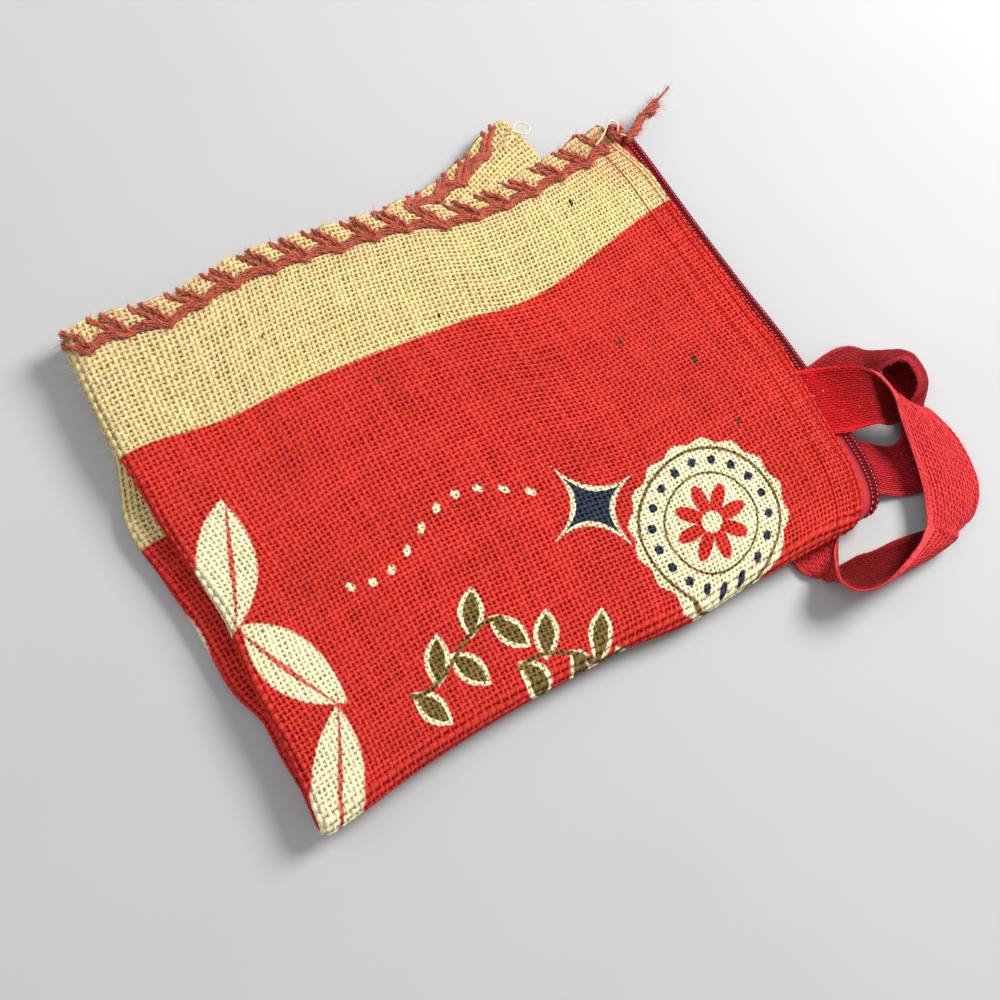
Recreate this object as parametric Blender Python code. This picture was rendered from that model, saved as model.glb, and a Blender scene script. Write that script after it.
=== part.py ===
"""Zipped burlap bag with webbing handles, folded in quarters and lying flat.

The bag is one length of burlap, folded at the bag's bottom and overcast along both sides. It is folded
twice more: its lower half goes under at mid-height, and then its right half goes under its left half.
Eight plies lie on each other. +X runs from the height fold to the zipped mouth, +Y from the centre
fold to the side seam, and Z = 0 is the surface that the bag lies on. The shapes are laid out on the
drawing's own zero, and the whole bag is then centred on the origin.
"""

import math

import bmesh
import bpy
import numpy as np
from mathutils import Matrix

MM = 0.001

# ---- Driving dimensions, in millimetres ----
CLOTH = 1.1  # thickness of the burlap
PITCH = 1.8  # from one ply to the next
HALF_WIDTH = 176.0  # flat cloth from the centre fold to a side seam
UPPER_LENGTH = 234.0  # flat cloth from the height fold to the mouth
LOWER_LENGTH = 191.0  # flat cloth from the height fold to the bag's bottom
FOLD_X = -113.0  # where the height fold starts to curve
HEIGHT_RADIUS = PITCH  # neutral radius of the height fold, which turns two plies
CENTRE_RADIUS = 2 * PITCH  # neutral radius of the centre fold, which turns four
MIDDLE_Z = 3.5 * PITCH + CLOTH / 2
TOP_Z = 2 * MIDDLE_Z

WEBBING = 1.3  # thickness of the handles
TAPE = 0.55  # thickness of the zip's tapes
TAPE_UNDER_HEM = 6.0
COIL_OFFSET = (  # distance from the centre fold, distance of the coil's middle past the hem
    (-180, 4.4), (-20, 6.3), (30, 6.3), (60, 4.4), (86, 3.2), (117, 2.2), (180, 0.8),
)
COIL_HALF_WIDTH = 2.7
TAPE_TO_COIL = 0.35
COIL_HALF_HEIGHT = 0.8
ZIP_END_GAP = 4.0  # from the zip's end to the side seam

# Levels in the mouth's stack, measured from the middle between the front and the back ply.
PLY_LEVEL = PITCH / 2
BACK_DROP = 3.78  # how far the back ply drops towards the mouth, past the bag's bottom
BACK_DROP_START = 32.0  # where the drop starts and ends, measured back from the mouth
BACK_DROP_END = 16.0
FRONT_TAPE_LEVEL = -0.33
COIL_LEVEL = -0.78
BACK_TAPE_LEVEL = -1.27
HANDLE_BUMP = 2.2  # how far the front ply rises over the front handle
BUMP_MIDDLE = 50.0  # the bump's place and half width, measured from the centre fold
BUMP_REACH = 40.0
BUMP_LENGTH = 34.0

# ---- Outlines seen from above ----
SEAM_EDGE = (  # x, y of the stitched edge
    (-116, 95.8), (-107, 97.0), (-80, 95.2), (-53, 99.3), (-26, 99.2), (1, 96.9), (18, 94.9), (31, 90.8),
    (45, 89.3), (60, 89.8), (82, 92.6), (100, 95.2), (120, 96.0),
)
CENTRE_EDGE = (  # x, y where the centre fold starts to curve
    (-116, -87.6), (-100, -86.0), (-82, -83.6), (-46, -81.0), (-10, -81.0), (8, -81.3), (44, -84.3),
    (62, -83.2), (120, -83.2),
)
LEFT_EDGE = (  # y, shift in x of the height fold
    (-93, 2.2), (-62, 3.8), (-40, 3.4), (-17, 4.8), (7, 2.1), (22, 0.0), (34, -0.8), (50, -2.3), (97, -1.8),
)
MOUTH_EDGE = (  # y, shift in x of the mouth
    (-91, -6.0), (-86, -1.0), (-80, 2.6), (-72, 4.6), (-55, 5.6), (-25, 6.8), (-12, 6.3), (12, 3.6),
    (36, 1.0), (60, -1.4), (80, -3.6), (96, -6.0),
)
UNDER_EDGE = (  # y, shift in x of the height fold in the lower four plies
    (-78, 0.0), (-64, -1.8), (-50, -2.2), (-40, -5.8), (-24, -8.4), (8, -8.7), (32, -8.2), (40, -5.0),
    (52, -0.8), (60, 0.0),
)
EDGE_FADE = 70.0  # how far from an edge its shift has faded out

CORNER_EDGE = (  # x, how far the bag's bottom corner shows past the stitched edge
    (-10, 0.0), (0, 1.0), (8, 2.8), (20, 7.0), (31, 12.5), (40, 17.0), (49, 20.5), (58, 25.0), (67, 28.5),
    (80, 29.5),
)
CORNER_END = (78.0, 83.0)  # where that corner's reach ends, past the bag's bottom
CORNER_PULL = 3.0  # how far that corner's tip is pulled out along x
CORNER_PULL_START = 40.0
CORNER_DROOP = 3.0
STRAP_LIFT = 2.7  # how much higher the corner over the front handle lies
LIFT_START = (62.0, -22.0)  # x and y where that lift begins
LIFT_FULL = (87.0, -58.0)
SWELL = 0.05  # unevenness of the stack's height
SWELL_WAVES = ((0.031, 0.022, 0.4), (-0.019, 0.043, 2.1), (0.052, -0.012, 4.0))  # per mm x, per mm y, phase

# ---- Handles ----
# Ends inside the mouth: distance past the hem, both edges' distance from the centre fold, level.
FRONT_END = (
    (-15.0, 67.0, 40.0, 1.15), (-6.0, 63.5, 36.3, 1.15), (2.0, 61.5, 33.6, 1.25), (9.0, 59.5, 31.4, 1.6),
)
BACK_END = (
    (-15.0, 63.0, 37.5, -2.75), (-6.0, 62.6, 37.1, -2.75), (2.0, 62.3, 36.8, -2.8), (9.0, 62.0, 36.5, -3.2),
)
BACK_RETURN_END = (
    (9.0, -8.2, -32.2, -3.3), (2.0, -9.4, -33.7, -2.8), (-6.0, -10.9, -35.5, -2.75),
    (-15.0, -12.5, -37.5, -2.75),
)
# Stations outside the bag: one edge, the middle and the other edge, each as x, y, z.
FRONT_HANDLE = (
    ((145.0, -34.0, 17.8), (145.0, -46.5, 15.4), (145.5, -59.0, 12.4)),
    ((152.5, -40.5, 18.4), (156.5, -50.5, 12.0), (156.0, -62.0, 7.6)),
    ((155.0, -51.0, 18.2), (164.0, -58.0, 13.0), (171.5, -62.0, 8.0)),
    ((154.0, -62.0, 15.5), (166.5, -66.5, 12.0), (177.0, -69.5, 6.5)),
    ((153.8, -75.5, 11.0), (167.0, -79.0, 9.5), (180.0, -81.5, 6.0)),
    ((151.5, -88.5, 8.5), (166.0, -93.5, 8.5), (178.8, -97.0, 4.0)),
    ((147.0, -97.8, 8.5), (161.5, -104.5, 7.8), (171.8, -106.8, 2.2)),
    ((144.2, -100.8, 9.8), (157.5, -109.8, 6.6), (160.5, -106.0, 1.3)),
    ((140.5, -103.5, 11.2), (151.5, -112.9, 5.8), (147.5, -104.5, 1.2)),
    ((131.5, -107.5, 14.0), (136.5, -114.0, 6.0), (133.0, -102.0, 1.0)),
    ((118.5, -111.0, 17.0), (123.0, -113.0, 8.0), (124.0, -101.5, 1.0)),
    ((107.5, -112.8, 17.5), (113.5, -111.0, 8.0), (119.5, -101.0, 1.0)),
    ((98.5, -110.8, 16.0), (104.0, -107.5, 7.5), (114.0, -100.0, 1.0)),
    ((94.5, -104.8, 15.0), (98.0, -103.8, 7.0), (106.5, -100.2, 1.0)),
    ((98.0, -99.6, 11.5), (94.5, -101.8, 5.5), (98.0, -100.5, 1.0)),
    ((104.5, -94.2, 6.0), (96.5, -97.2, 4.4), (90.5, -96.6, 1.0)),
    ((111.2, -89.4, 2.0), (99.5, -90.0, 1.6), (88.0, -90.6, 1.1)),
    ((114.0, -80.0, 1.1), (101.5, -79.0, 1.1), (89.0, -78.0, 1.1)),
    ((117.5, -66.0, 1.1), (105.0, -64.5, 1.1), (92.5, -63.0, 1.1)),
)
BACK_HANDLE = (
    ((146.5, -24.0, 8.0), (145.5, -36.5, 7.6), (144.0, -48.5, 7.4)),
    ((157.0, -24.5, 5.5), (154.0, -36.0, 7.2), (150.0, -46.5, 8.6)),
    ((165.0, -28.5, 1.6), (164.5, -33.0, 8.5), (158.5, -41.0, 14.5)),
    ((169.5, -36.5, 1.0), (174.5, -36.5, 9.5), (164.8, -40.8, 18.2)),
    ((169.0, -43.5, 1.0), (179.3, -43.0, 9.0), (168.8, -43.8, 18.4)),
    ((170.5, -52.0, 1.0), (180.3, -52.5, 7.0), (171.0, -52.2, 14.0)),
    ((176.0, -63.0, 1.0), (175.5, -60.5, 3.6), (166.5, -58.2, 6.0)),
    ((175.5, -76.5, 1.0), (168.5, -70.0, 2.2), (162.3, -63.5, 2.4)),
    ((166.5, -87.8, 1.0), (163.2, -77.5, 3.6), (160.0, -67.2, 2.0)),
    ((156.0, -90.5, 1.0), (155.8, -79.5, 4.6), (154.0, -68.8, 2.0)),
    ((146.0, -88.3, 1.0), (147.0, -77.0, 3.4), (147.6, -65.6, 1.6)),
)

# ---- Mesh density ----
WIDTH_STEPS = 10  # across each half of the cloth
CENTRE_STEPS = 6  # round the centre fold
UPPER_STEPS = 15
HEIGHT_STEPS = 4  # round the height fold
LOWER_STEPS = 10
RIM_STEPS = 3  # round the seams and the bag's bottom
STRAP_COLUMNS = 5
STRAP_SUBSTEPS = 2
COIL_SIDES = 10


def smooth(value, start, end):
    """0 before start, 1 after end, and an even ramp between."""
    share = np.clip((np.asarray(value, float) - start) / (end - start), 0.0, 1.0)
    return share * share * (3.0 - 2.0 * share)


def along(rows, place):
    """The second column of a small table at a place in the first, on a smooth curve."""
    places, values = (np.array(column, float) for column in zip(*rows))
    slopes = np.gradient(values, places)
    place = np.clip(place, places[0], places[-1])
    left = np.clip(np.searchsorted(places, place, side="right") - 1, 0, len(places) - 2)
    gap = places[left + 1] - places[left]
    u = (place - places[left]) / gap
    return (
        (2 * u**3 - 3 * u**2 + 1) * values[left]
        + (u**3 - 2 * u**2 + u) * gap * slopes[left]
        + (3 * u**2 - 2 * u**3) * values[left + 1]
        + (u**3 - u**2) * gap * slopes[left + 1]
    )


def bend(distance, offset, radius):
    """Turns a flat layer over a fold: its distance from the fold's line and its offset become a
    distance from where the fold starts to curve, and a height above the fold's middle."""
    quarter = math.pi * radius / 2
    angle = np.clip(distance / radius, -math.pi / 2, math.pi / 2)
    flat = np.maximum(np.abs(distance) - quarter, 0.0)
    reach = radius + offset
    return flat - reach * np.cos(angle), reach * np.sin(angle)


def back_drop(s):
    return BACK_DROP * smooth(s, UPPER_LENGTH - BACK_DROP_START, UPPER_LENGTH - BACK_DROP_END)


def handle_bump(s, t):
    """How far the front ply rises where the front handle is sewn under it."""
    across = 1.0 - smooth(np.abs(t - BUMP_MIDDLE), BUMP_REACH / 2, BUMP_REACH)
    return HANDLE_BUMP * across * smooth(s, UPPER_LENGTH - BUMP_LENGTH, UPPER_LENGTH - BUMP_LENGTH / 2)


def placed(s, t, level):
    """A point of the folded bag. s is the distance along the cloth from the height fold, positive
    towards the mouth, t the distance from the centre fold, positive in the left half, and level the
    offset from the middle between front and back ply."""
    s, t, level = np.broadcast_arrays(np.asarray(s, float), np.asarray(t, float), np.asarray(level, float))
    x, height = bend(s, level, HEIGHT_RADIUS)
    across, height = bend(t, height, CENTRE_RADIUS)
    share = x / UPPER_LENGTH
    x = x + FOLD_X
    start = along(CENTRE_EDGE, x)
    width = along(SEAM_EDGE, x) - start
    y = start + np.where(across > 0, across * width / HALF_WIDTH, across)

    fade = 1.0 - smooth(x - FOLD_X, 0.0, EDGE_FADE)
    lower_half = smooth(-height, -PITCH / 2, PITCH / 2)
    shift = along(LEFT_EDGE, y) * fade + along(UNDER_EDGE, y) * fade * lower_half
    shift = shift + along(MOUTH_EDGE, y) * smooth(share, 0.0, 1.0)

    bottom_half = smooth(height, 0.0, PITCH / 5) * smooth(-height, -2.15 * PITCH, -1.82 * PITCH)
    outwards = np.clip(across / HALF_WIDTH, 0.0, 1.2) ** 1.6
    splay = along(CORNER_EDGE, x) * (1.0 - smooth(x, *CORNER_END))
    y = y + splay * outwards * bottom_half

    z = MIDDLE_Z + height
    past = smooth(y, along(SEAM_EDGE, x) + 1.0, along(SEAM_EDGE, x) + 20.0)
    z = z - CORNER_DROOP * past * bottom_half
    tip = np.clip(across / HALF_WIDTH, 0.0, 1.2) ** 6 * bottom_half
    x = x + CORNER_PULL * tip * smooth(x, CORNER_PULL_START, CORNER_END[0]) * (1.0 - smooth(x, *CORNER_END))
    swell = sum(np.sin(kx * x + ky * y + phase) for kx, ky, phase in SWELL_WAVES) / len(SWELL_WAVES)
    z = z * (1.0 + SWELL * swell)
    lift = smooth(x, LIFT_START[0], LIFT_FULL[0]) * smooth(-y, -LIFT_START[1], -LIFT_FULL[1])
    z = z + STRAP_LIFT * lift * (1.0 - z / TOP_Z)
    return np.stack([x + shift, y, z], axis=-1) * MM


def material(name, colour, roughness):
    made = bpy.data.materials.new(name)
    made.use_nodes = True
    shader = made.node_tree.nodes["Principled BSDF"]
    shader.inputs["Base Color"].default_value = (*colour, 1.0)
    shader.inputs["Roughness"].default_value = roughness
    shader.inputs["Metallic"].default_value = 0.0
    return made


def solid(name, points, faces, finish):
    """One closed object from points and faces, with its faces turned out."""
    mesh = bpy.data.meshes.new(name)
    mesh.from_pydata([tuple(point) for point in points], [], faces)
    shape = bmesh.new()
    shape.from_mesh(mesh)
    bmesh.ops.recalc_face_normals(shape, faces=shape.faces)
    shape.to_mesh(mesh)
    shape.free()
    mesh.shade_smooth()
    mesh.set_sharp_from_angle(angle=math.radians(50))
    mesh.materials.append(finish)
    made = bpy.data.objects.new(name, mesh)
    bpy.context.scene.collection.objects.link(made)
    return made


def quads(indices):
    """Faces between the rows and columns of a grid of point indices."""
    rows, columns = indices.shape
    return [
        (indices[r, c], indices[r + 1, c], indices[r + 1, c + 1], indices[r, c + 1])
        for r in range(rows - 1)
        for c in range(columns - 1)
    ]


def slab(name, upper, lower, finish):
    """A closed sheet between two grids of points that face each other."""
    count = upper.shape[0] * upper.shape[1]
    top = np.arange(count).reshape(upper.shape[:2])
    bottom = top + count
    ring = np.concatenate([top[:, 0], top[-1, 1:], top[-2::-1, -1], top[0, -2:0:-1]])
    ring = np.append(ring, ring[0])
    faces = quads(top) + quads(bottom) + quads(np.stack([ring, ring + count]))
    points = np.concatenate([upper.reshape(-1, 3), lower.reshape(-1, 3)])
    return solid(name, points, [tuple(int(i) for i in face) for face in faces], finish)


def fold_places(radius, inner_steps, before, before_steps, after, after_steps):
    """Places along a layer: even steps round the fold and along the flats on both sides of it."""
    quarter = math.pi * radius / 2
    return np.concatenate([
        np.linspace(-before, -quarter, before_steps + 1)[:-1],
        np.linspace(-quarter, quarter, inner_steps + 1),
        np.linspace(quarter, after, after_steps + 1)[1:],
    ])


def burlap_body(finish):
    """The cloth as one pocket, open at the mouth. An outer and an inner skin each hold a front grid, a
    back grid and rows that turn round the seams and the bag's bottom."""
    half = HALF_WIDTH + math.pi * CENTRE_RADIUS / 2
    s_places = fold_places(
        HEIGHT_RADIUS, HEIGHT_STEPS, LOWER_LENGTH, LOWER_STEPS, UPPER_LENGTH, UPPER_STEPS
    )
    t_places = fold_places(CENTRE_RADIUS, CENTRE_STEPS, half, WIDTH_STEPS, half, WIDTH_STEPS)
    s, t = np.meshgrid(s_places, t_places, indexing="ij")
    # The rim runs from the mouth down one seam, along the bag's bottom and up the other seam.
    rows, columns = s.shape
    rim = (
        [(r, 0) for r in range(rows - 1, 0, -1)]
        + [(0, c) for c in range(columns)]
        + [(r, columns - 1) for r in range(1, rows)]
    )
    rim_s = np.array([s_places[r] for r, _ in rim])
    rim_t = np.array([t_places[c] for _, c in rim])
    out_s = np.array([-1.0 if r == 0 else 0.0 for r, _ in rim])
    out_t = np.array([-1.0 if c == 0 else 1.0 if c == columns - 1 else 0.0 for _, c in rim])

    points = []
    faces = []
    mouth_rings = []
    first = 0
    for side in (1, -1):
        thick = side * CLOTH / 2
        front = placed(s, t, PLY_LEVEL + handle_bump(s, t) + thick)
        back = placed(s, t, -PLY_LEVEL - back_drop(s) - thick)
        front_index = first + np.arange(rows * columns).reshape(rows, columns)
        back_index = front_index + rows * columns
        bump = handle_bump(rim_s, rim_t)
        drop = back_drop(rim_s)
        centre = (bump - drop) / 2
        radius = PLY_LEVEL + (bump + drop) / 2 + thick
        turned = []
        for step in range(1, RIM_STEPS):
            angle = math.pi / 2 - math.pi * step / RIM_STEPS
            out = radius * math.cos(angle)
            turned.append(placed(rim_s + out_s * out, rim_t + out_t * out, centre + radius * math.sin(angle)))
        turned = np.array(turned)
        turned_index = back_index.max() + 1 + np.arange(turned.shape[0] * turned.shape[1])
        turned_index = turned_index.reshape(turned.shape[:2])
        front_rim = np.array([front_index[place] for place in rim])
        back_rim = np.array([back_index[place] for place in rim])
        strip = np.vstack([front_rim, turned_index, back_rim])
        faces += quads(front_index) + quads(back_index) + quads(strip)
        mouth_rings.append(np.concatenate([
            front_index[-1, :], strip[1:-1, -1], back_index[-1, ::-1], strip[-2:0:-1, 0], front_index[-1, :1],
        ]))
        points += [front.reshape(-1, 3), back.reshape(-1, 3), turned.reshape(-1, 3)]
        first = turned_index.max() + 1
    faces += quads(np.stack(mouth_rings))
    return solid("burlap_body", np.concatenate(points), [tuple(int(i) for i in f) for f in faces], finish)


def mouth_places():
    end = HALF_WIDTH + math.pi * CENTRE_RADIUS / 2 - ZIP_END_GAP
    return fold_places(CENTRE_RADIUS, CENTRE_STEPS, end, WIDTH_STEPS, end, WIDTH_STEPS)


def zip_tape(name, level, finish):
    """A tape along the whole mouth, from under its hem to the coil."""
    across = mouth_places()
    end = along(COIL_OFFSET, across) - COIL_HALF_WIDTH - TAPE_TO_COIL
    start = np.minimum(end, 0.0) - TAPE_UNDER_HEM
    s = UPPER_LENGTH + np.stack([start, end])
    t = np.stack([across, across])
    return slab(name, placed(s, t, level + TAPE / 2), placed(s, t, level - TAPE / 2), finish)


def zip_coil(finish):
    """The closed chain of the zip, a flat oval that follows the mouth round the centre fold."""
    angles = np.arange(COIL_SIDES) * 2 * math.pi / COIL_SIDES
    t, angle = np.meshgrid(mouth_places(), angles, indexing="ij")
    s = UPPER_LENGTH + along(COIL_OFFSET, t) + COIL_HALF_WIDTH * np.cos(angle)
    points = placed(s, t, COIL_LEVEL + COIL_HALF_HEIGHT * np.sin(angle))
    index = np.arange(angle.size).reshape(angle.shape)
    faces = quads(np.hstack([index, index[:, :1]]))
    faces += [tuple(index[0]), tuple(index[-1])]
    return solid("zip_coil", points.reshape(-1, 3), [tuple(int(i) for i in f) for f in faces], finish)


def hidden_end(rows):
    """Stations of a handle's end inside the mouth, in the same form as those outside."""
    stations = []
    for past, far, near, level in rows:
        t = np.array([far, (far + near) / 2, near])
        stations.append(placed(UPPER_LENGTH + past, t, level) / MM)
    return stations


def through(stations, substeps):
    """Points on a smooth curve through the stations, with even substeps between each two."""
    knots = np.concatenate([
        [2 * stations[0] - stations[1]],
        stations,
        [2 * stations[-1] - stations[-2]],
    ])
    rows = []
    for before, start, end, after in zip(knots, knots[1:], knots[2:], knots[3:]):
        for u in np.arange(substeps) / substeps:
            rows.append(
                start
                + (end - before) * u / 2
                + (2 * before - 5 * start + 4 * end - after) * u**2 / 2
                + (3 * start - before - 3 * end + after) * u**3 / 2
            )
    rows.append(stations[-1])
    return np.array(rows)


def handle(name, stations, finish):
    """A length of webbing through its stations, each curved from one edge over the middle to the other."""
    rows = through(np.array(stations), STRAP_SUBSTEPS)
    edge, middle, other = rows[:, 0], rows[:, 1], rows[:, 2]
    first = np.linalg.norm(middle - edge, axis=1)
    share = (first / (first + np.linalg.norm(other - middle, axis=1)))[:, None]
    grid = []
    for q in np.linspace(0.0, 1.0, STRAP_COLUMNS):
        grid.append(
            edge * (q - share) * (q - 1.0) / share
            + middle * q * (q - 1.0) / (share * (share - 1.0))
            + other * q * (q - share) / (1.0 - share)
        )
    grid = np.stack(grid, axis=1)
    normal = np.cross(np.gradient(grid, axis=0), np.gradient(grid, axis=1))
    normal /= np.linalg.norm(normal, axis=2, keepdims=True)
    offset = normal * WEBBING / 2
    return slab(name, (grid + offset) * MM, (grid - offset) * MM, finish)


def centre_on_origin():
    """Moves every mesh by one step, so that the bag's box stands centred on the origin, on Z = 0."""
    meshes = [item.data for item in bpy.context.scene.objects]
    corners = np.array([vertex.co for mesh in meshes for vertex in mesh.vertices])
    low, high = corners.min(axis=0), corners.max(axis=0)
    step = Matrix.Translation((-(low[0] + high[0]) / 2, -(low[1] + high[1]) / 2, -low[2]))
    for mesh in meshes:
        mesh.transform(step)


def build():
    for item in list(bpy.data.objects):
        bpy.data.objects.remove(item, do_unlink=True)
    jute = material("burlap", (0.77, 0.63, 0.28), 0.95)
    tape = material("zip_tape", (0.46, 0.02, 0.03), 0.8)
    nylon = material("zip_coil", (0.30, 0.01, 0.02), 0.45)
    cotton = material("webbing", (0.60, 0.02, 0.03), 0.9)
    burlap_body(jute)
    zip_tape("zip_tape_front", FRONT_TAPE_LEVEL, tape)
    zip_tape("zip_tape_back", BACK_TAPE_LEVEL, tape)
    zip_coil(nylon)
    handle("handle_front", hidden_end(FRONT_END) + list(FRONT_HANDLE), cotton)
    back_stations = hidden_end(BACK_END) + list(BACK_HANDLE) + hidden_end(BACK_RETURN_END)
    handle("handle_back", back_stations, cotton)
    centre_on_origin()


build()
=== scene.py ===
"""Looks of the folded, zipped burlap bag: woven cloth, print, overcast seams, zip and webbing handles.

Lengths in the tables are millimetres, in the drawing's own frame. place() gives metres in the frame of
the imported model. A cloth point has s, the distance from the height fold (positive towards the mouth),
t, the distance from the centre fold (positive in the left half), and h, the height above the middle of
its own ply.
"""

import math

import bpy
import numpy as np
from mathutils import Matrix, Vector


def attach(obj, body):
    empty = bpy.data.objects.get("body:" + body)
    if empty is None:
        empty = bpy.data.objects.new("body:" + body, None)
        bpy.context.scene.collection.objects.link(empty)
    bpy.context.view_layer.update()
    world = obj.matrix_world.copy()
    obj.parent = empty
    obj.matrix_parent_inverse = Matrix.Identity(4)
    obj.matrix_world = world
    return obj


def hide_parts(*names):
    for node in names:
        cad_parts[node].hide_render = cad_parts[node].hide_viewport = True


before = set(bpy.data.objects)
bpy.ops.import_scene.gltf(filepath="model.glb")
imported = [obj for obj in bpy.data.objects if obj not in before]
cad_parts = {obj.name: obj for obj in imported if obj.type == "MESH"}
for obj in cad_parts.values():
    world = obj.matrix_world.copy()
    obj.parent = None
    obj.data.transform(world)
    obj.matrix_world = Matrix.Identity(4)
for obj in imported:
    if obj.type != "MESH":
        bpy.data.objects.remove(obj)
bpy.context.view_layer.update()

MM = 0.001
STEP = np.array([-27.66895, -4.15293, 0.0])  # from the drawing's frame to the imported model's
PI = math.pi

# ---- Shape of the folded bag, as in the CAD part ----
CLOTH = 1.1  # thickness of the burlap
PITCH = 1.8  # from one ply to the next
HALF_WIDTH = 176.0  # flat cloth from the centre fold to a side seam
UPPER_LENGTH = 234.0  # from the height fold to the mouth
LOWER_LENGTH = 191.0  # from the height fold to the bag's bottom
FOLD_X = -113.0  # where the height fold starts to curve
HEIGHT_RADIUS = PITCH  # of the height fold, which turns two plies
CENTRE_RADIUS = 2 * PITCH  # of the centre fold, which turns four
MIDDLE_Z = 3.5 * PITCH + CLOTH / 2  # the middle of the eight plies
TOP_Z = 2 * MIDDLE_Z
T_END = HALF_WIDTH + PI * CENTRE_RADIUS / 2  # t of a side seam
TAPE = 0.55  # thickness of the zip's tapes
TAPE_UNDER_HEM = 6.0
COIL_OFFSET = (  # t, distance of the coil's middle past the hem
    (-180, 4.4), (-20, 6.3), (30, 6.3), (60, 4.4), (86, 3.2), (117, 2.2), (180, 0.8),
)
COIL_HALF_WIDTH = 2.75  # half of the closed coil
COIL_OUT = ((-180, 1.2), (30, 1.2), (60, 0.5), (150, 0.5), (172, 1.1), (190, 1.1))  # t, shift of it
ZIP_END_GAP = 4.0  # from the zip's end to the side seam
PLY_LEVEL = PITCH / 2  # of a ply, from between the front and the back ply
BACK_DROP = 3.78  # how far the back ply drops towards the mouth
BACK_DROP_START, BACK_DROP_END = 32.0, 16.0  # where it drops, back from the mouth
FRONT_TAPE_LEVEL = -0.33  # levels as for PLY_LEVEL
COIL_LEVEL = -0.78
BACK_TAPE_LEVEL = -1.27
HANDLE_BUMP = 2.2  # how far the front ply rises over the front handle
BUMP_MIDDLE = 50.0  # t of the bump's middle
BUMP_REACH = 40.0  # its half width
BUMP_LENGTH = 34.0  # its length back from the mouth
SEAM_EDGE = (  # x, y of the stitched edge
    (-116, 95.8), (-107, 97.0), (-80, 95.2), (-53, 99.3), (-26, 99.2), (1, 96.9), (18, 94.9), (31, 90.8),
    (45, 89.3), (60, 89.8), (82, 92.6), (100, 95.2), (120, 96.0),
)
CENTRE_EDGE = (  # x, y where the centre fold starts to curve
    (-116, -87.6), (-100, -86.0), (-82, -83.6), (-46, -81.0), (-10, -81.0), (8, -81.3), (44, -84.3),
    (62, -83.2), (120, -83.2),
)
LEFT_EDGE = (  # y, shift in x of the height fold
    (-93, 2.2), (-62, 3.8), (-40, 3.4), (-17, 4.8), (7, 2.1), (22, 0.0), (34, -0.8), (50, -2.3), (97, -1.8),
)
MOUTH_EDGE = (  # y, shift in x of the mouth
    (-91, -6.0), (-86, -1.0), (-80, 2.6), (-72, 4.6), (-55, 5.6), (-25, 6.8), (-12, 6.3), (12, 3.6),
    (36, 1.0), (60, -1.4), (80, -3.6), (96, -6.0),
)
UNDER_EDGE = (  # y, shift in x of the height fold in the lower four plies
    (-78, 0.0), (-64, -1.8), (-50, -2.2), (-40, -5.8), (-24, -8.4), (8, -8.7), (32, -8.2), (40, -5.0),
    (52, -0.8), (60, 0.0),
)
EDGE_FADE = 70.0  # how far from an edge its shift has faded out
CORNER_EDGE = (  # x, how far the bag's bottom corner shows past the stitched edge
    (-10, 0.0), (0, 1.0), (8, 2.8), (20, 7.0), (31, 12.5), (40, 17.0), (49, 20.5), (58, 25.0), (67, 28.5),
    (80, 29.5),
)
CORNER_END = (78.0, 83.0)  # where that corner's reach ends
CORNER_PULL = 3.0  # how far its tip is pulled out along x
CORNER_PULL_START = 40.0
CORNER_DROOP = 3.0  # and hangs down
STRAP_LIFT = 2.7  # how much higher the corner over the front handle lies
LIFT_START = (62.0, -22.0)  # x and y where that lift begins
LIFT_FULL = (87.0, -58.0)  # and where it is whole
SWELL = 0.05  # unevenness of the stack's height
SWELL_WAVES = ((0.031, 0.022, 0.4), (-0.019, 0.043, 2.1), (0.052, -0.012, 4.0))  # per mm x, per mm y, phase

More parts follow.
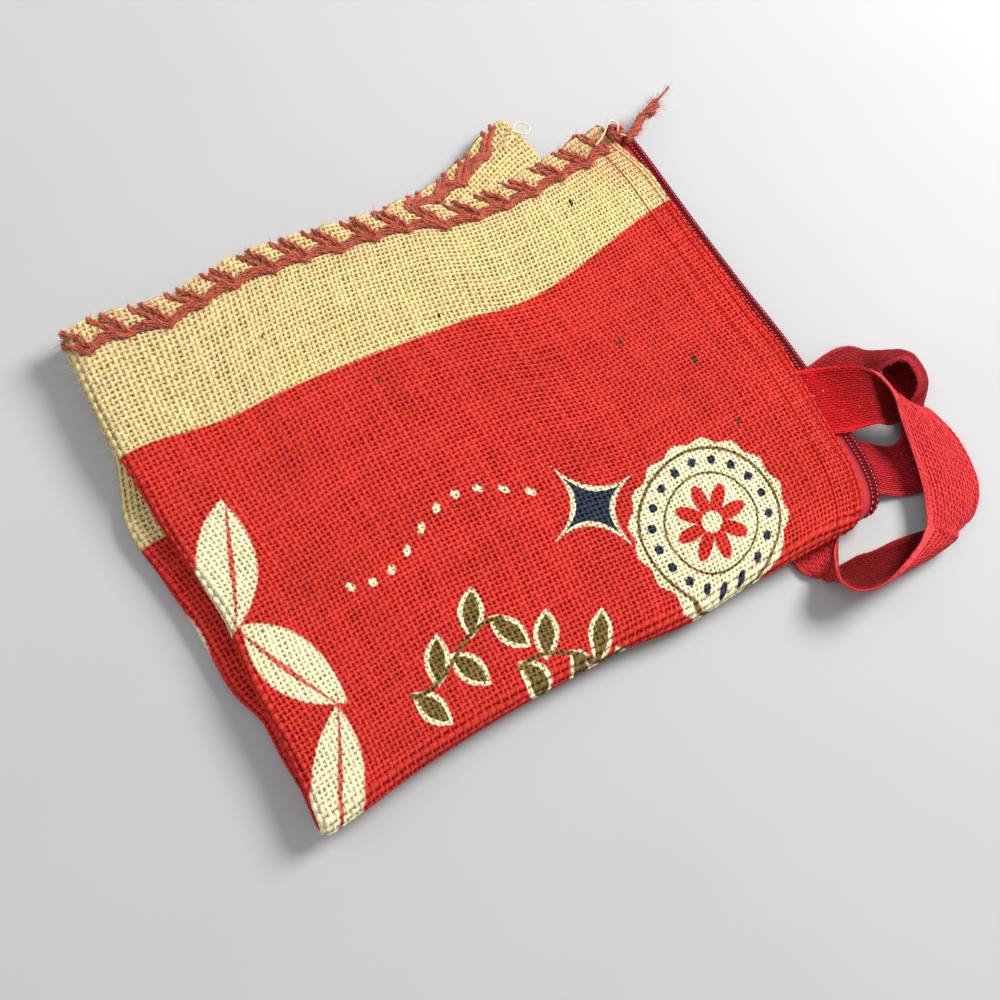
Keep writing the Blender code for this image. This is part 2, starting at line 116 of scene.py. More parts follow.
FRONT_END = (  # ends in the mouth: distance past the hem, both edges' t, level
    (-15, 67, 40, 1.15), (-6, 63.5, 36.3, 1.15), (2, 61.5, 33.6, 1.25), (9, 59.5, 31.4, 1.6),
)
BACK_END = (
    (-15, 63, 37.5, -2.75), (-6, 62.6, 37.1, -2.75), (2, 62.3, 36.8, -2.8), (9, 62, 36.5, -3.2),
)
BACK_RETURN_END = (
    (9, -8.2, -32.2, -3.3), (2, -9.4, -33.7, -2.8), (-6, -10.9, -35.5, -2.75),
    (-15, -12.5, -37.5, -2.75),
)
FRONT_HANDLE = (  # stations outside: one edge, the middle, the other edge
    ((145, -34, 17.8), (145, -46.5, 15.4), (145.5, -59, 12.4)),
    ((152.5, -40.5, 18.4), (156.5, -50.5, 12), (156, -62, 7.6)),
    ((155, -51, 18.2), (164, -58, 13), (171.5, -62, 8)),
    ((154, -62, 15.5), (166.5, -66.5, 12), (177, -69.5, 6.5)),
    ((153.8, -75.5, 11), (167, -79, 9.5), (180, -81.5, 6)),
    ((151.5, -88.5, 8.5), (166, -93.5, 8.5), (178.8, -97, 4)),
    ((147, -97.8, 8.5), (161.5, -104.5, 7.8), (173.2, -105.6, 2.2)),
    ((144.2, -100.8, 9.8), (157, -109.6, 6.6), (164.5, -109, 1.5)),
    ((140.5, -103.5, 11.2), (151.5, -112.9, 5.8), (147.5, -104.5, 1.2)),
    ((131.5, -107.5, 14), (136.5, -114, 6), (133, -102, 1)),
    ((118.5, -111, 17), (123, -113, 8), (124, -101.5, 1)),
    ((107.5, -112.8, 17.5), (113.5, -111, 8), (119.5, -101, 1)),
    ((98.5, -110.8, 16), (104, -107.5, 7.5), (114, -100, 1)),
    ((94.5, -104.8, 15), (98, -103.8, 7), (106.5, -100.2, 1)),
    ((98, -99.6, 11.5), (94.5, -101.8, 5.5), (98, -100.5, 1)),
    ((104.5, -94.2, 6), (96.5, -97.2, 4.4), (90.5, -96.6, 1)),
    ((111.2, -89.4, 2), (99.5, -90, 1.6), (88, -90.6, 1.1)),
    ((114, -80, 1.1), (101.5, -79, 1.1), (89, -78, 1.1)),
    ((117.5, -66, 1.1), (105, -64.5, 1.1), (92.5, -63, 1.1)),
)
BACK_HANDLE = (
    ((146.5, -24, 8), (145.5, -36.5, 7.6), (144, -48.5, 7.4)),
    ((157, -24.5, 5.5), (154, -36, 7.2), (150, -46.5, 8.6)),
    ((165, -28.5, 1.6), (164.5, -33, 8.5), (158.5, -41, 14.5)),
    ((169.5, -36.5, 1), (174.5, -36.5, 9.5), (164.8, -40.8, 18.2)),
    ((169, -43.5, 1), (179.3, -43, 9), (168.8, -43.8, 18.4)),
    ((170.5, -52, 1), (180.3, -52.5, 7), (171, -52.2, 14)),
    ((176, -63, 1), (175.5, -60.5, 3.6), (166.5, -58.2, 6)),
    ((175.5, -76.5, 1), (168.5, -70, 2.2), (162.3, -63.5, 2.4)),
    ((166.5, -87.8, 1), (163.2, -77.5, 3.6), (160, -67.2, 2)),
    ((156, -90.5, 1), (155.8, -79.5, 4.6), (154, -68.8, 2)),
    ((146, -88.3, 1), (147, -77, 3.4), (147.6, -65.6, 1.6)),
)
WEBBING = 1.3  # thickness of the handles

# ---- Weave, seams and stitches ----
WEAVE = 1.75  # pitch of the burlap's yarns
YARN_LEVEL = 0.3  # the yarns' middle above the middle of their ply
YARN_WAVE = 0.17  # how far a yarn rises and falls
YARN_HALF_WIDTH = 0.80  # half of a yarn as it lies flattened
YARN_HALF_HEIGHT = 0.23
UNDER_LEVEL = -0.06  # the sheet that shows between the yarns, painted dark as shade
SEAM_WIDTH = 8.3  # from the stitched edge to the chain of its overcasting
STITCH_PITCH = 13.8  # from one pair of the overcasting's bars to the next
STITCH_START = 4.5  # s of the first stitch of the upper seam
STITCH_LEAN = 7.6  # how far a stitch has leaned where it reaches the edge
CORNER_ROUND = 9.0  # radius of the bag's bottom corners
CORNER_SHIFT = (3.2, -1.9, 0.0)  # of the peeking corner, from the drawing
# How far the hem lies further in than in the drawing, the t where that begins and where it is whole,
# and how far back from the mouth it reaches: all along, and at the top of the zip.
MOUTH_PULLS = ((1.6, 12.0, 45.0, 8.0), (5.0, 155.0, 182.0, 26.0))
PUFF = 1.55  # how high the cloth swells between the stitches
PUFF_START = 3.5  # how far past the chain it is whole
DENT = 0.75  # how far the bars press it in
DENT_SHIFT = 1.9  # s of a dent from its stitch
GROOVE_WIDTH, GROOVE_DEPTH = 1.6, 0.5  # under the chain
HEM = 20.0  # depth of the turned hem at the mouth
HEM_RISE = 0.45  # of the doubled cloth there
FLOOR_GAP = 0.0001  # the lowest point, in metres


def smooth(value, start, end):
    """0 before start, 1 after end, and an even ramp between."""
    share = np.clip((np.asarray(value, float) - start) / (end - start), 0.0, 1.0)
    return share * share * (3.0 - 2.0 * share)


def along(rows, place):
    """The second column of a small table at a place in the first, on a smooth curve."""
    places, values = (np.array(column, float) for column in zip(*rows))
    slopes = np.gradient(values, places)
    place = np.clip(place, places[0], places[-1])
    left = np.clip(np.searchsorted(places, place, side="right") - 1, 0, len(places) - 2)
    gap = places[left + 1] - places[left]
    u = (place - places[left]) / gap
    return (
        (2 * u**3 - 3 * u**2 + 1) * values[left]
        + (u**3 - 2 * u**2 + u) * gap * slopes[left]
        + (3 * u**2 - 2 * u**3) * values[left + 1]
        + (u**3 - u**2) * gap * slopes[left + 1]
    )


def bend(distance, offset, radius):
    """Turns a flat layer over a fold, to a distance from where the fold starts and a height."""
    quarter = PI * radius / 2
    angle = np.clip(distance / radius, -PI / 2, PI / 2)
    flat = np.maximum(np.abs(distance) - quarter, 0.0)
    reach = radius + offset
    return flat - reach * np.cos(angle), reach * np.sin(angle)


def back_drop(s):
    return BACK_DROP * smooth(s, UPPER_LENGTH - BACK_DROP_START, UPPER_LENGTH - BACK_DROP_END)


def handle_bump(s, t):
    across = 1.0 - smooth(np.abs(t - BUMP_MIDDLE), BUMP_REACH / 2, BUMP_REACH)
    return HANDLE_BUMP * across * smooth(s, UPPER_LENGTH - BUMP_LENGTH, UPPER_LENGTH - BUMP_LENGTH / 2)


def place(s, t, level):
    """A point of the folded bag in metres, with level measured from between the front and back ply."""
    s, t, level = np.broadcast_arrays(np.asarray(s, float), np.asarray(t, float), np.asarray(level, float))
    x, height = bend(s, level, HEIGHT_RADIUS)
    own = np.clip(level, -PLY_LEVEL, PLY_LEVEL)
    ply = bend(t, bend(s, own, HEIGHT_RADIUS)[1], CENTRE_RADIUS)[1]
    across, height = bend(t, height, CENTRE_RADIUS)
    share = x / UPPER_LENGTH
    x = x + FOLD_X
    start = along(CENTRE_EDGE, x)
    width = along(SEAM_EDGE, x) - start
    y = start + np.where(across > 0, across * width / HALF_WIDTH, across)

    fade = 1.0 - smooth(x - FOLD_X, 0.0, EDGE_FADE)
    lower_half = smooth(-ply, -PITCH / 2, PITCH / 2)
    shift = along(LEFT_EDGE, y) * fade + along(UNDER_EDGE, y) * fade * lower_half
    shift = shift + along(MOUTH_EDGE, y) * smooth(share, 0.0, 1.0)

    bottom_half = smooth(ply, 0.0, PITCH / 5) * smooth(-ply, -2.15 * PITCH, -1.82 * PITCH)
    outwards = np.clip(across / HALF_WIDTH, 0.0, 1.2) ** 1.6
    splay = along(CORNER_EDGE, x) * (1.0 - smooth(x, *CORNER_END))
    y = y + splay * outwards * bottom_half

    z = MIDDLE_Z + height
    past = smooth(y, along(SEAM_EDGE, x) + 1.0, along(SEAM_EDGE, x) + 20.0)
    z = z - CORNER_DROOP * past * bottom_half
    tip = np.clip(across / HALF_WIDTH, 0.0, 1.2) ** 6 * bottom_half
    x = x + CORNER_PULL * tip * smooth(x, CORNER_PULL_START, CORNER_END[0]) * (1.0 - smooth(x, *CORNER_END))
    swell = sum(np.sin(kx * x + ky * y + phase) for kx, ky, phase in SWELL_WAVES) / len(SWELL_WAVES)
    z = z * (1.0 + SWELL * swell)
    lift = smooth(x, LIFT_START[0], LIFT_FULL[0]) * smooth(-y, -LIFT_START[1], -LIFT_FULL[1])
    z = z + STRAP_LIFT * lift * (1.0 - z / TOP_Z)
    return (np.stack([x + shift, y, z], axis=-1) + STEP) * MM


def relief(side, s, t):
    """Height that the soft cloth adds: puffs between the overcast stitches, the hem and slow waves."""
    inside = T_END - np.abs(t)  # distance from the stitched edge
    lean = STITCH_LEAN * (1.0 - np.clip(inside, 0.0, SEAM_WIDTH) / SEAM_WIDTH)
    beat = 0.5 - 0.5 * np.cos(2 * PI * (s + lean - STITCH_START - DENT_SHIFT) / STITCH_PITCH)
    rolled = smooth(-inside, -SEAM_WIDTH, -SEAM_WIDTH + PUFF_START)
    groove = np.exp(-(((inside - SEAM_WIDTH) / GROOVE_WIDTH) ** 2))
    puff = rolled * (PUFF * beat**0.7 - DENT) - GROOVE_DEPTH * groove
    # Only the top ply and the peeking corner are free to swell.
    top = smooth(s, 4.0, 20.0) * smooth(t, 4.0, 20.0) if side > 0 else 0.0
    corner = smooth(-s, 90.0, 120.0) * smooth(t, 120.0, 140.0)
    share = 0.3 + 0.7 * np.maximum(top, corner)
    wave = (
        0.35 * np.sin(s / 17.0 + 1.3 * np.sin(t / 31.0))
        + 0.3 * np.sin(t / 13.0 - s / 29.0 + 1.0)
        + 0.22 * np.sin(s / 8.0 + t / 11.0 + 2.0)
    )
    calm = smooth(inside, SEAM_WIDTH, SEAM_WIDTH + 15.0)
    hem = HEM_RISE * smooth(s, UPPER_LENGTH - HEM - 1.0, UPPER_LENGTH - HEM + 1.0) * top
    return puff * share + wave * top * calm + hem


def skin(side, s, t, h):
    """A point on the front cloth (side 1) or the back cloth (side -1), at a height h above its middle.
    Past a seam or the bag's bottom the cloth turns round the edge."""
    s, t, h = np.broadcast_arrays(np.asarray(s, float), np.asarray(t, float), np.asarray(h, float))
    over = np.hypot(np.maximum(-LOWER_LENGTH - s, 0.0), np.maximum(np.abs(t) - T_END, 0.0))
    turn = np.minimum(over / PLY_LEVEL, PI)
    inner_s, inner_t = np.maximum(s, -LOWER_LENGTH), np.clip(t, -T_END, T_END)
    for pull, start, whole, length in MOUTH_PULLS:
        by_mouth = smooth(inner_s, UPPER_LENGTH - length, UPPER_LENGTH)
        inner_s = inner_s - pull * smooth(inner_t, start, whole) * by_mouth
    # The bag's bottom corners are rounded.
    a = np.maximum(CORNER_ROUND - LOWER_LENGTH - inner_s, 0.0)
    b = np.maximum(np.abs(inner_t) - T_END + CORNER_ROUND, 0.0)
    far = np.maximum(np.hypot(a, b), 1e-9)
    cut = 1.0 - np.maximum(a, b) / far
    inner_s = inner_s + a * cut
    inner_t = inner_t - np.sign(t) * b * cut
    bump, drop = handle_bump(inner_s, inner_t), back_drop(inner_s)
    radius = PLY_LEVEL + (bump + drop) / 2 + h + relief(side, inner_s, inner_t)
    reach = radius * np.sin(turn) - (over - turn * PLY_LEVEL)
    level = (bump - drop) / 2 + side * radius * np.cos(turn)
    # Of the lower half, only the peeking corner is shifted.
    moved = smooth(-inner_s, 105.0, 150.0) * smooth(inner_t, 118.0, 160.0)
    laid = place(inner_s - a / far * reach, inner_t + np.sign(t) * (b / far) * reach, level)
    return laid + moved[..., None] * np.array(CORNER_SHIFT) * MM


# ---- Meshes ----


class Shape:
    """Gathers points, faces and per-point values for one mesh."""

    def __init__(self, seed=0):
        self.rng = np.random.default_rng(seed)
        self.points, self.cloth, self.rise, self.shade = [], [], [], []
        self.faces = {3: [], 4: []}
        self.slots = {3: [], 4: []}
        self.count = 0

    def add(self, points, faces, cloth=None, rise=1.0, shade=0.5, slots=0):
        """faces is a list of arrays of point indices, with 3 or 4 columns each. slots is one material
        slot, or one for each of them."""
        shape = points.shape[:-1]
        size = math.prod(shape)
        self.points.append(points.reshape(-1, 3))
        self.cloth.append(np.zeros((size, 2)) if cloth is None else cloth.reshape(-1, 2))
        self.rise.append(np.broadcast_to(rise, shape).reshape(-1))
        self.shade.append(np.broadcast_to(shade, shape).reshape(-1))
        for block, slot in zip(faces, np.broadcast_to(slots, len(faces))):
            self.faces[block.shape[1]].append(block + self.count)
            self.slots[block.shape[1]].append(np.full(len(block), slot))
        self.count += size

    def build(self, name, *materials):
        mesh = bpy.data.meshes.new(name)
        points = np.concatenate(self.points)
        points[:, 2] = np.maximum(points[:, 2], FLOOR_GAP)
        quads, tris = (np.concatenate([np.zeros((0, n), int), *self.faces[n]]) for n in (4, 3))
        loops = np.concatenate([quads.ravel(), tris.ravel()])
        starts = np.concatenate([np.arange(len(quads)) * 4, quads.size + np.arange(len(tris)) * 3])
        slots = np.concatenate([*self.slots[4], *self.slots[3]])
        mesh.vertices.add(len(points))
        mesh.vertices.foreach_set("co", points.astype(np.float32).ravel())
        mesh.loops.add(len(loops))
        mesh.loops.foreach_set("vertex_index", loops.astype(np.int32))
        mesh.polygons.add(len(starts))
        mesh.polygons.foreach_set("loop_start", starts.astype(np.int32))
        mesh.polygons.foreach_set("material_index", slots.astype(np.int32))
        mesh.update(calc_edges=True)
        mesh.validate()
        layer = mesh.uv_layers.new(name="cloth")
        layer.data.foreach_set("uv", np.concatenate(self.cloth)[loops].astype(np.float32).ravel())
        for key, values in (("rise", self.rise), ("shade", self.shade)):
            held = mesh.attributes.new(key, "FLOAT", "POINT")
            held.data.foreach_set("value", np.concatenate(values).astype(np.float32))
        mesh.shade_smooth()
        for finish in materials:
            mesh.materials.append(finish)
        return link(name, mesh)


def link(name, data):
    """A new object in the scene."""
    made = bpy.data.objects.new(name, data)
    bpy.context.scene.collection.objects.link(made)
    return made


def grid_faces(index):
    """Quads between the rows and columns of grids of point indices, seen from the side where the
    columns run to the right and the rows run down."""
    corners = index[..., :-1, :-1], index[..., 1:, :-1], index[..., 1:, 1:], index[..., :-1, 1:]
    return np.stack(corners, axis=-1).reshape(-1, 4)


def ring_faces(index):
    """The same where each row closes on itself."""
    return grid_faces(np.concatenate([index, index[..., :1]], axis=-1))


def cloth_map(s, t):
    """Coordinates for a mesh's cloth layer, in metres."""
    return np.stack([s, t], axis=-1) * MM


def slab(shape, first, second, cloth, **values):
    """A closed sheet between two grids of points that face each other."""
    index = np.arange(first.size // 3).reshape(first.shape[:2])
    other = index + index.size
    ring = np.concatenate([index[:, 0], index[-1, 1:], index[-2::-1, -1], index[0, -2:0:-1]])
    faces = [grid_faces(index)[:, ::-1], grid_faces(other), ring_faces(np.stack([ring, ring + index.size]))]
    shape.add(np.stack([first, second]), faces, np.stack([cloth, cloth]), **values)


def unit(vectors):
    return vectors / np.maximum(np.linalg.norm(vectors, axis=-1, keepdims=True), 1e-12)


def frames(paths):
    """Two directions square to each path, which turn with it as little as possible."""
    ahead = unit(np.gradient(paths, axis=-2))
    first = np.cross(ahead[..., 0, :], np.array([0.31, 0.17, 0.93]))
    side = unit(first)
    sides = []
    for k in range(paths.shape[-2]):
        side = unit(side - (side * ahead[..., k, :]).sum(-1, keepdims=True) * ahead[..., k, :])
        sides.append(side)
    sides = np.stack(sides, axis=-2)
    return sides, np.cross(ahead, sides)


def tubes(shape, paths, radius, sides, shade=0.5, cloth=None, slot=0):
    """Closed tubes along paths, an array of (count, points, 3). radius is one value, or one each."""
    count, length = paths.shape[:2]
    one, two = frames(paths)
    angle = np.arange(sides) * 2 * PI / sides
    radius = np.broadcast_to(radius, (count, length))[..., None, None]
    ring = one[:, :, None] * np.cos(angle)[:, None] + two[:, :, None] * np.sin(angle)[:, None]
    index = np.arange(count * length * sides).reshape(count, length, sides)
    caps = []
    for k in range(1, sides - 1):
        caps.append(index[:, 0, [0, k, k + 1]])
        caps.append(index[:, -1, [0, k + 1, k]])
    if cloth is not None:
        cloth = np.broadcast_to(cloth[:, :, None], (count, length, sides, 2))
    tone = np.asarray(shade, float).reshape(-1, 1, 1)
    faces = [ring_faces(index), np.concatenate(caps)]
    shape.add(paths[:, :, None] + radius * ring, faces, cloth, shade=tone, slots=slot)


def drift(rng, rows, places, step):
    """Smooth random values from -1 to 1, one row for each yarn, at places along it."""
    start = places.min()
    knots = rng.uniform(-1.0, 1.0, (rows, int((places.max() - start) / step) + 3))
    at = (places - start) / step
    left = at.astype(int)
    u = at - left
    u = u * u * (3.0 - 2.0 * u)
    return knots[:, left] * (1.0 - u) + knots[:, left + 1] * u


def weave(name, side, s_range, t_range, seed, finish):
    """The burlap's yarns over one patch of cloth, as two pieces: those along s and those along t."""
    rng = np.random.default_rng(seed)
    s_lines, t_lines = (
        np.arange(math.floor(low / WEAVE), math.ceil(high / WEAVE) + 1) for low, high in (s_range, t_range)
    )
    made = []
    for way, lines, cross in (("s", t_lines, s_lines), ("t", s_lines, t_lines)):
        count, run = len(lines), cross * WEAVE
        rise = np.cos(PI * (lines[:, None] + cross)) * (1 if way == "s" else -1)

        def slow(step):
            return drift(rng, count, run, step)

        swerve = 0.17 * slow(9.0) + 0.12 * slow(3.5)
        thick = 1.0 + 0.2 * slow(6.0) + 0.13 * rng.uniform(-1, 1, (count, 1))
        slub = np.maximum(slow(11.0) - 0.72, 0.0) * 1.6
        width = YARN_HALF_WIDTH * (thick + slub)
        tone = 0.5 + 0.22 * rng.uniform(-1, 1, (count, 1)) + 0.28 * slow(14.0)
        middle = lines[:, None] * WEAVE + swerve
        lift = YARN_LEVEL + YARN_WAVE * rise
        flank = lift - YARN_HALF_HEIGHT * 0.7
        across = np.stack([middle - width, middle, middle + width], axis=-1)
        height = np.stack([flank, lift + YARN_HALF_HEIGHT * thick, flank], axis=-1)
        along_run = np.broadcast_to(run[:, None], across.shape)
        s, t = wander(side, *((along_run, across) if way == "s" else (across, along_run)))
        index = np.arange(across.size).reshape(across.shape)
        walls = ring_faces(index)
        if (side > 0) == (way == "s"):
            walls = walls[:, ::-1]
        shape = Shape()
        # rise is lower on a yarn's flanks and where it dips under; the finish paints these parts darker as
        # shade.
        shape.add(
            skin(side, s, t, height),
            [walls, np.concatenate([index[:, 0], index[:, -1, ::-1]])],
            cloth=cloth_map(s, t),
            rise=np.clip(0.5 + 0.5 * rise[..., None] + np.array([-0.35, 0.1, -0.35]), 0.0, 1.0),
            shade=np.clip(tone[..., None], 0.0, 1.0),
        )
        made.append(shape.build(f"{name}_{way}", finish))
    return made


def wander(side, s, t):
    """Yarns don't lie dead straight: a slow sideways drift that fades at the cloth's edges."""
    calm = smooth(T_END - np.abs(t), 2.0, 24.0) * smooth(s + LOWER_LENGTH, 2.0, 20.0)
    calm = calm * smooth(UPPER_LENGTH - s, 0.0, 12.0)
    ds = 0.8 * np.sin(t / 23.0 + side) * np.cos(s / 37.0) + 0.25 * np.sin(t / 9.5 + s / 41.0)
    # Towards the mouth the crosswise yarns of the unprinted strip lean out.
    lean = np.maximum(t - 128.0, 0.0) * (side > 0)
    lean = 0.22 * lean**2 / (lean + 8.0) * smooth(s, -12.0, 60.0) * smooth(UPPER_LENGTH - s, 0.0, 60.0)
    dt = 0.9 * np.sin(s / 27.0 + 0.6 * side) * np.cos(t / 44.0) + 0.25 * np.sin(s / 10.7 + t / 33.0)
    return s + ds * calm + lean, t + dt * calm


# ---- Materials ----


def feed(socket, value):
    """Gives a node's input a field, another socket, a colour or a number."""
    value = value.socket if isinstance(value, Field) else value
    if isinstance(value, bpy.types.NodeSocket):
        Field.tree.links.new(value, socket)
    else:
        socket.default_value = (*value, 1.0) if isinstance(value, tuple) else value


class Field:
    """A number that varies over a surface, built from Math nodes."""

    tree = None

    def __init__(self, socket):
        self.socket = socket

    @classmethod
    def of(cls, operation, *values, clamp=False):
        node = cls.tree.nodes.new("ShaderNodeMath")
        node.operation = operation
        node.use_clamp = clamp
        for socket, value in zip(node.inputs, values):
            feed(socket, value)
        return cls(node.outputs[0])

    def __add__(self, other):
        return Field.of("ADD", self, other)

    def __sub__(self, other):
        return Field.of("SUBTRACT", self, other)

    def __rsub__(self, other):
        return Field.of("SUBTRACT", other, self)

    def __mul__(self, other):
        return Field.of("MULTIPLY", self, other)

    def __abs__(self):
        return Field.of("ABSOLUTE", self)

    __radd__, __rmul__ = __add__, __mul__


def sine(value):
    return Field.of("SINE", value)


def fract(value):
    return Field.of("FRACT", value)


def hypot(a, b):
    return Field.of("SQRT", a * a + b * b)


def edge(value, softness):
    """1 where value is well above 0, 0 where it is well below, and a ramp as wide as softness between."""
    return Field.of("ADD", value * (1.0 / softness), 0.5, clamp=True)


def either(*masks):
    joined = masks[0]
    for mask in masks[1:]:
        joined = Field.of("MAXIMUM", joined, mask)
    return joined


def turned(s, t, cs, ct, degrees):
    """Coordinates from a motif's own middle and direction."""
    c, n = math.cos(math.radians(degrees)), math.sin(math.radians(degrees))
    a, b = s - cs, t - ct
    return a * c + b * n, b * c - a * n


def leaf(s, t, cs, ct, degrees, length, width, softness=0.1):
    """A pointed oval."""
    a, b = turned(s, t, cs, ct, degrees)
    u = a * (1.0 / length)
    return edge(1.0 - u * u - abs(b * (1.0 / width)), softness)


class Finish:
    """A material being made: its node tree, and short ways to make the nodes that are used here."""

    def __init__(self, name, roughness, sheen=0.0, sheen_tint=(1.0, 1.0, 1.0), gloss=0.2):
        self.made = bpy.data.materials.new(name)
        self.made.use_nodes = True
        Field.tree = self.tree = self.made.node_tree
        self.shader = self.tree.nodes["Principled BSDF"].inputs
        for key, value in (
            ("Roughness", roughness), ("Specular IOR Level", gloss), ("Sheen Weight", sheen),
            ("Sheen Roughness", 0.5), ("Sheen Tint", sheen_tint),
        ):
            feed(self.shader[key], value)

    def node(self, kind, inputs=None, **settings):
        """A new node, with its inputs by name or number."""
        made = self.tree.nodes.new(kind)
        for key, value in settings.items():
            setattr(made, key, value)
        for key, value in (inputs or {}).items():
            feed(made.inputs[key], value)
        return made

    def cloth(self):
        """s and t in millimetres."""
        held = self.node("ShaderNodeUVMap", uv_map="cloth").outputs[0]
        split = self.node("ShaderNodeSeparateXYZ", {0: held}).outputs
        return Field(split[0]) * 1000.0, Field(split[1]) * 1000.0

    def attribute(self, name):
        return Field(self.node("ShaderNodeAttribute", attribute_name=name).outputs["Fac"])

    def noise(self, a, b=None, scale=1.0, detail=2.0, c=0.0):
        """Noise from 0 to 1 over a point, or over two fields."""
        if b is not None:
            a = self.node("ShaderNodeCombineXYZ", {0: a, 1: b, 2: c}).outputs[0]
        inputs = {"Vector": a, "Scale": scale, "Detail": detail, "Roughness": 0.55}
        return Field(self.node("ShaderNodeTexNoise", inputs).outputs["Fac"])

    def grain(self, scale, detail=2.0):
        """Noise over the object's own space, with scale per metre."""
        return self.noise(self.node("ShaderNodeTexCoord").outputs["Object"], scale=scale, detail=detail)

    def mix(self, share, first, second, blend="MIX"):
        """A colour between two."""
        inputs = {0: share, 6: first, 7: second}
        return self.node("ShaderNodeMix", inputs, data_type="RGBA", blend_type=blend).outputs[2]

    def bump(self, height, distance, strength=0.9):
        inputs = {"Strength": strength, "Distance": distance, "Height": height}
        return self.node("ShaderNodeBump", inputs).outputs[0]

    def done(self, colour, normal=None, factor=None):
        """The material, with a colour times a field."""
        if factor is not None:
            scaled = self.node("ShaderNodeVectorMath", {0: colour, "Scale": factor}, operation="SCALE")
            colour = scaled.outputs[0]
        feed(self.shader["Base Color"], colour)
        if normal is not None:
            feed(self.shader["Normal"], normal)
        return self.made


NATURAL = (0.68, 0.52, 0.222)
NATURAL_DARK = (0.55, 0.385, 0.128)
NATURAL_PALE = (0.81, 0.68, 0.40)
RED_INK = (0.60, 0.014, 0.008)
RED_DARK = (0.48, 0.009, 0.005)
CREAM_INK = (0.90, 0.82, 0.54)
GOLD_INK = (0.12, 0.062, 0.010)
NAVY_INK = (0.016, 0.016, 0.045)

# The print, in millimetres of cloth.
LEAVES = (  # s and t of the middle, direction in degrees, half length, half width
    (10.0, 88.0, 62.0, 23.0, 9.5), (14.0, 50.0, 118.0, 22.0, 9.0), (11.0, 12.0, 64.0, 22.0, 9.0),
    (13.0, -26.0, 118.0, 22.0, 9.0), (10.0, -64.0, 62.0, 22.0, 9.0),
)
VEIN_S = 11.6  # s of the middle of their veins
SPRIGS = ((66.0, 24.0, 1.0), (104.0, 6.0, -1.0))  # s and t of the middle, and which way the stem swings
ROSETTE = (172.0, 27.0)  # s and t of its middle
STAR = (134.0, 50.0, 20.0)  # s and t of its middle, direction in degrees
FLECKS = (  # s, t and half length of flecks of bark
    (89.2, 121.5, 1.3), (195.5, 162.2, 1.9), (121.9, 136.6, 1.2), (199.2, 84.1, 2.0),
    (177.5, 104.3, 1.4), (201.0, 55.1, 1.5), (60.0, 152.0, 1.0), (140.0, 98.0, 1.0),
)


def red_border(s):
    """t of the upper edge of the printed field, along s."""
    return 132.5 + sine(s * 0.021 + 2.2) * 4.3 + Field.of("MAXIMUM", s - 60.0, 0.0) * 0.055


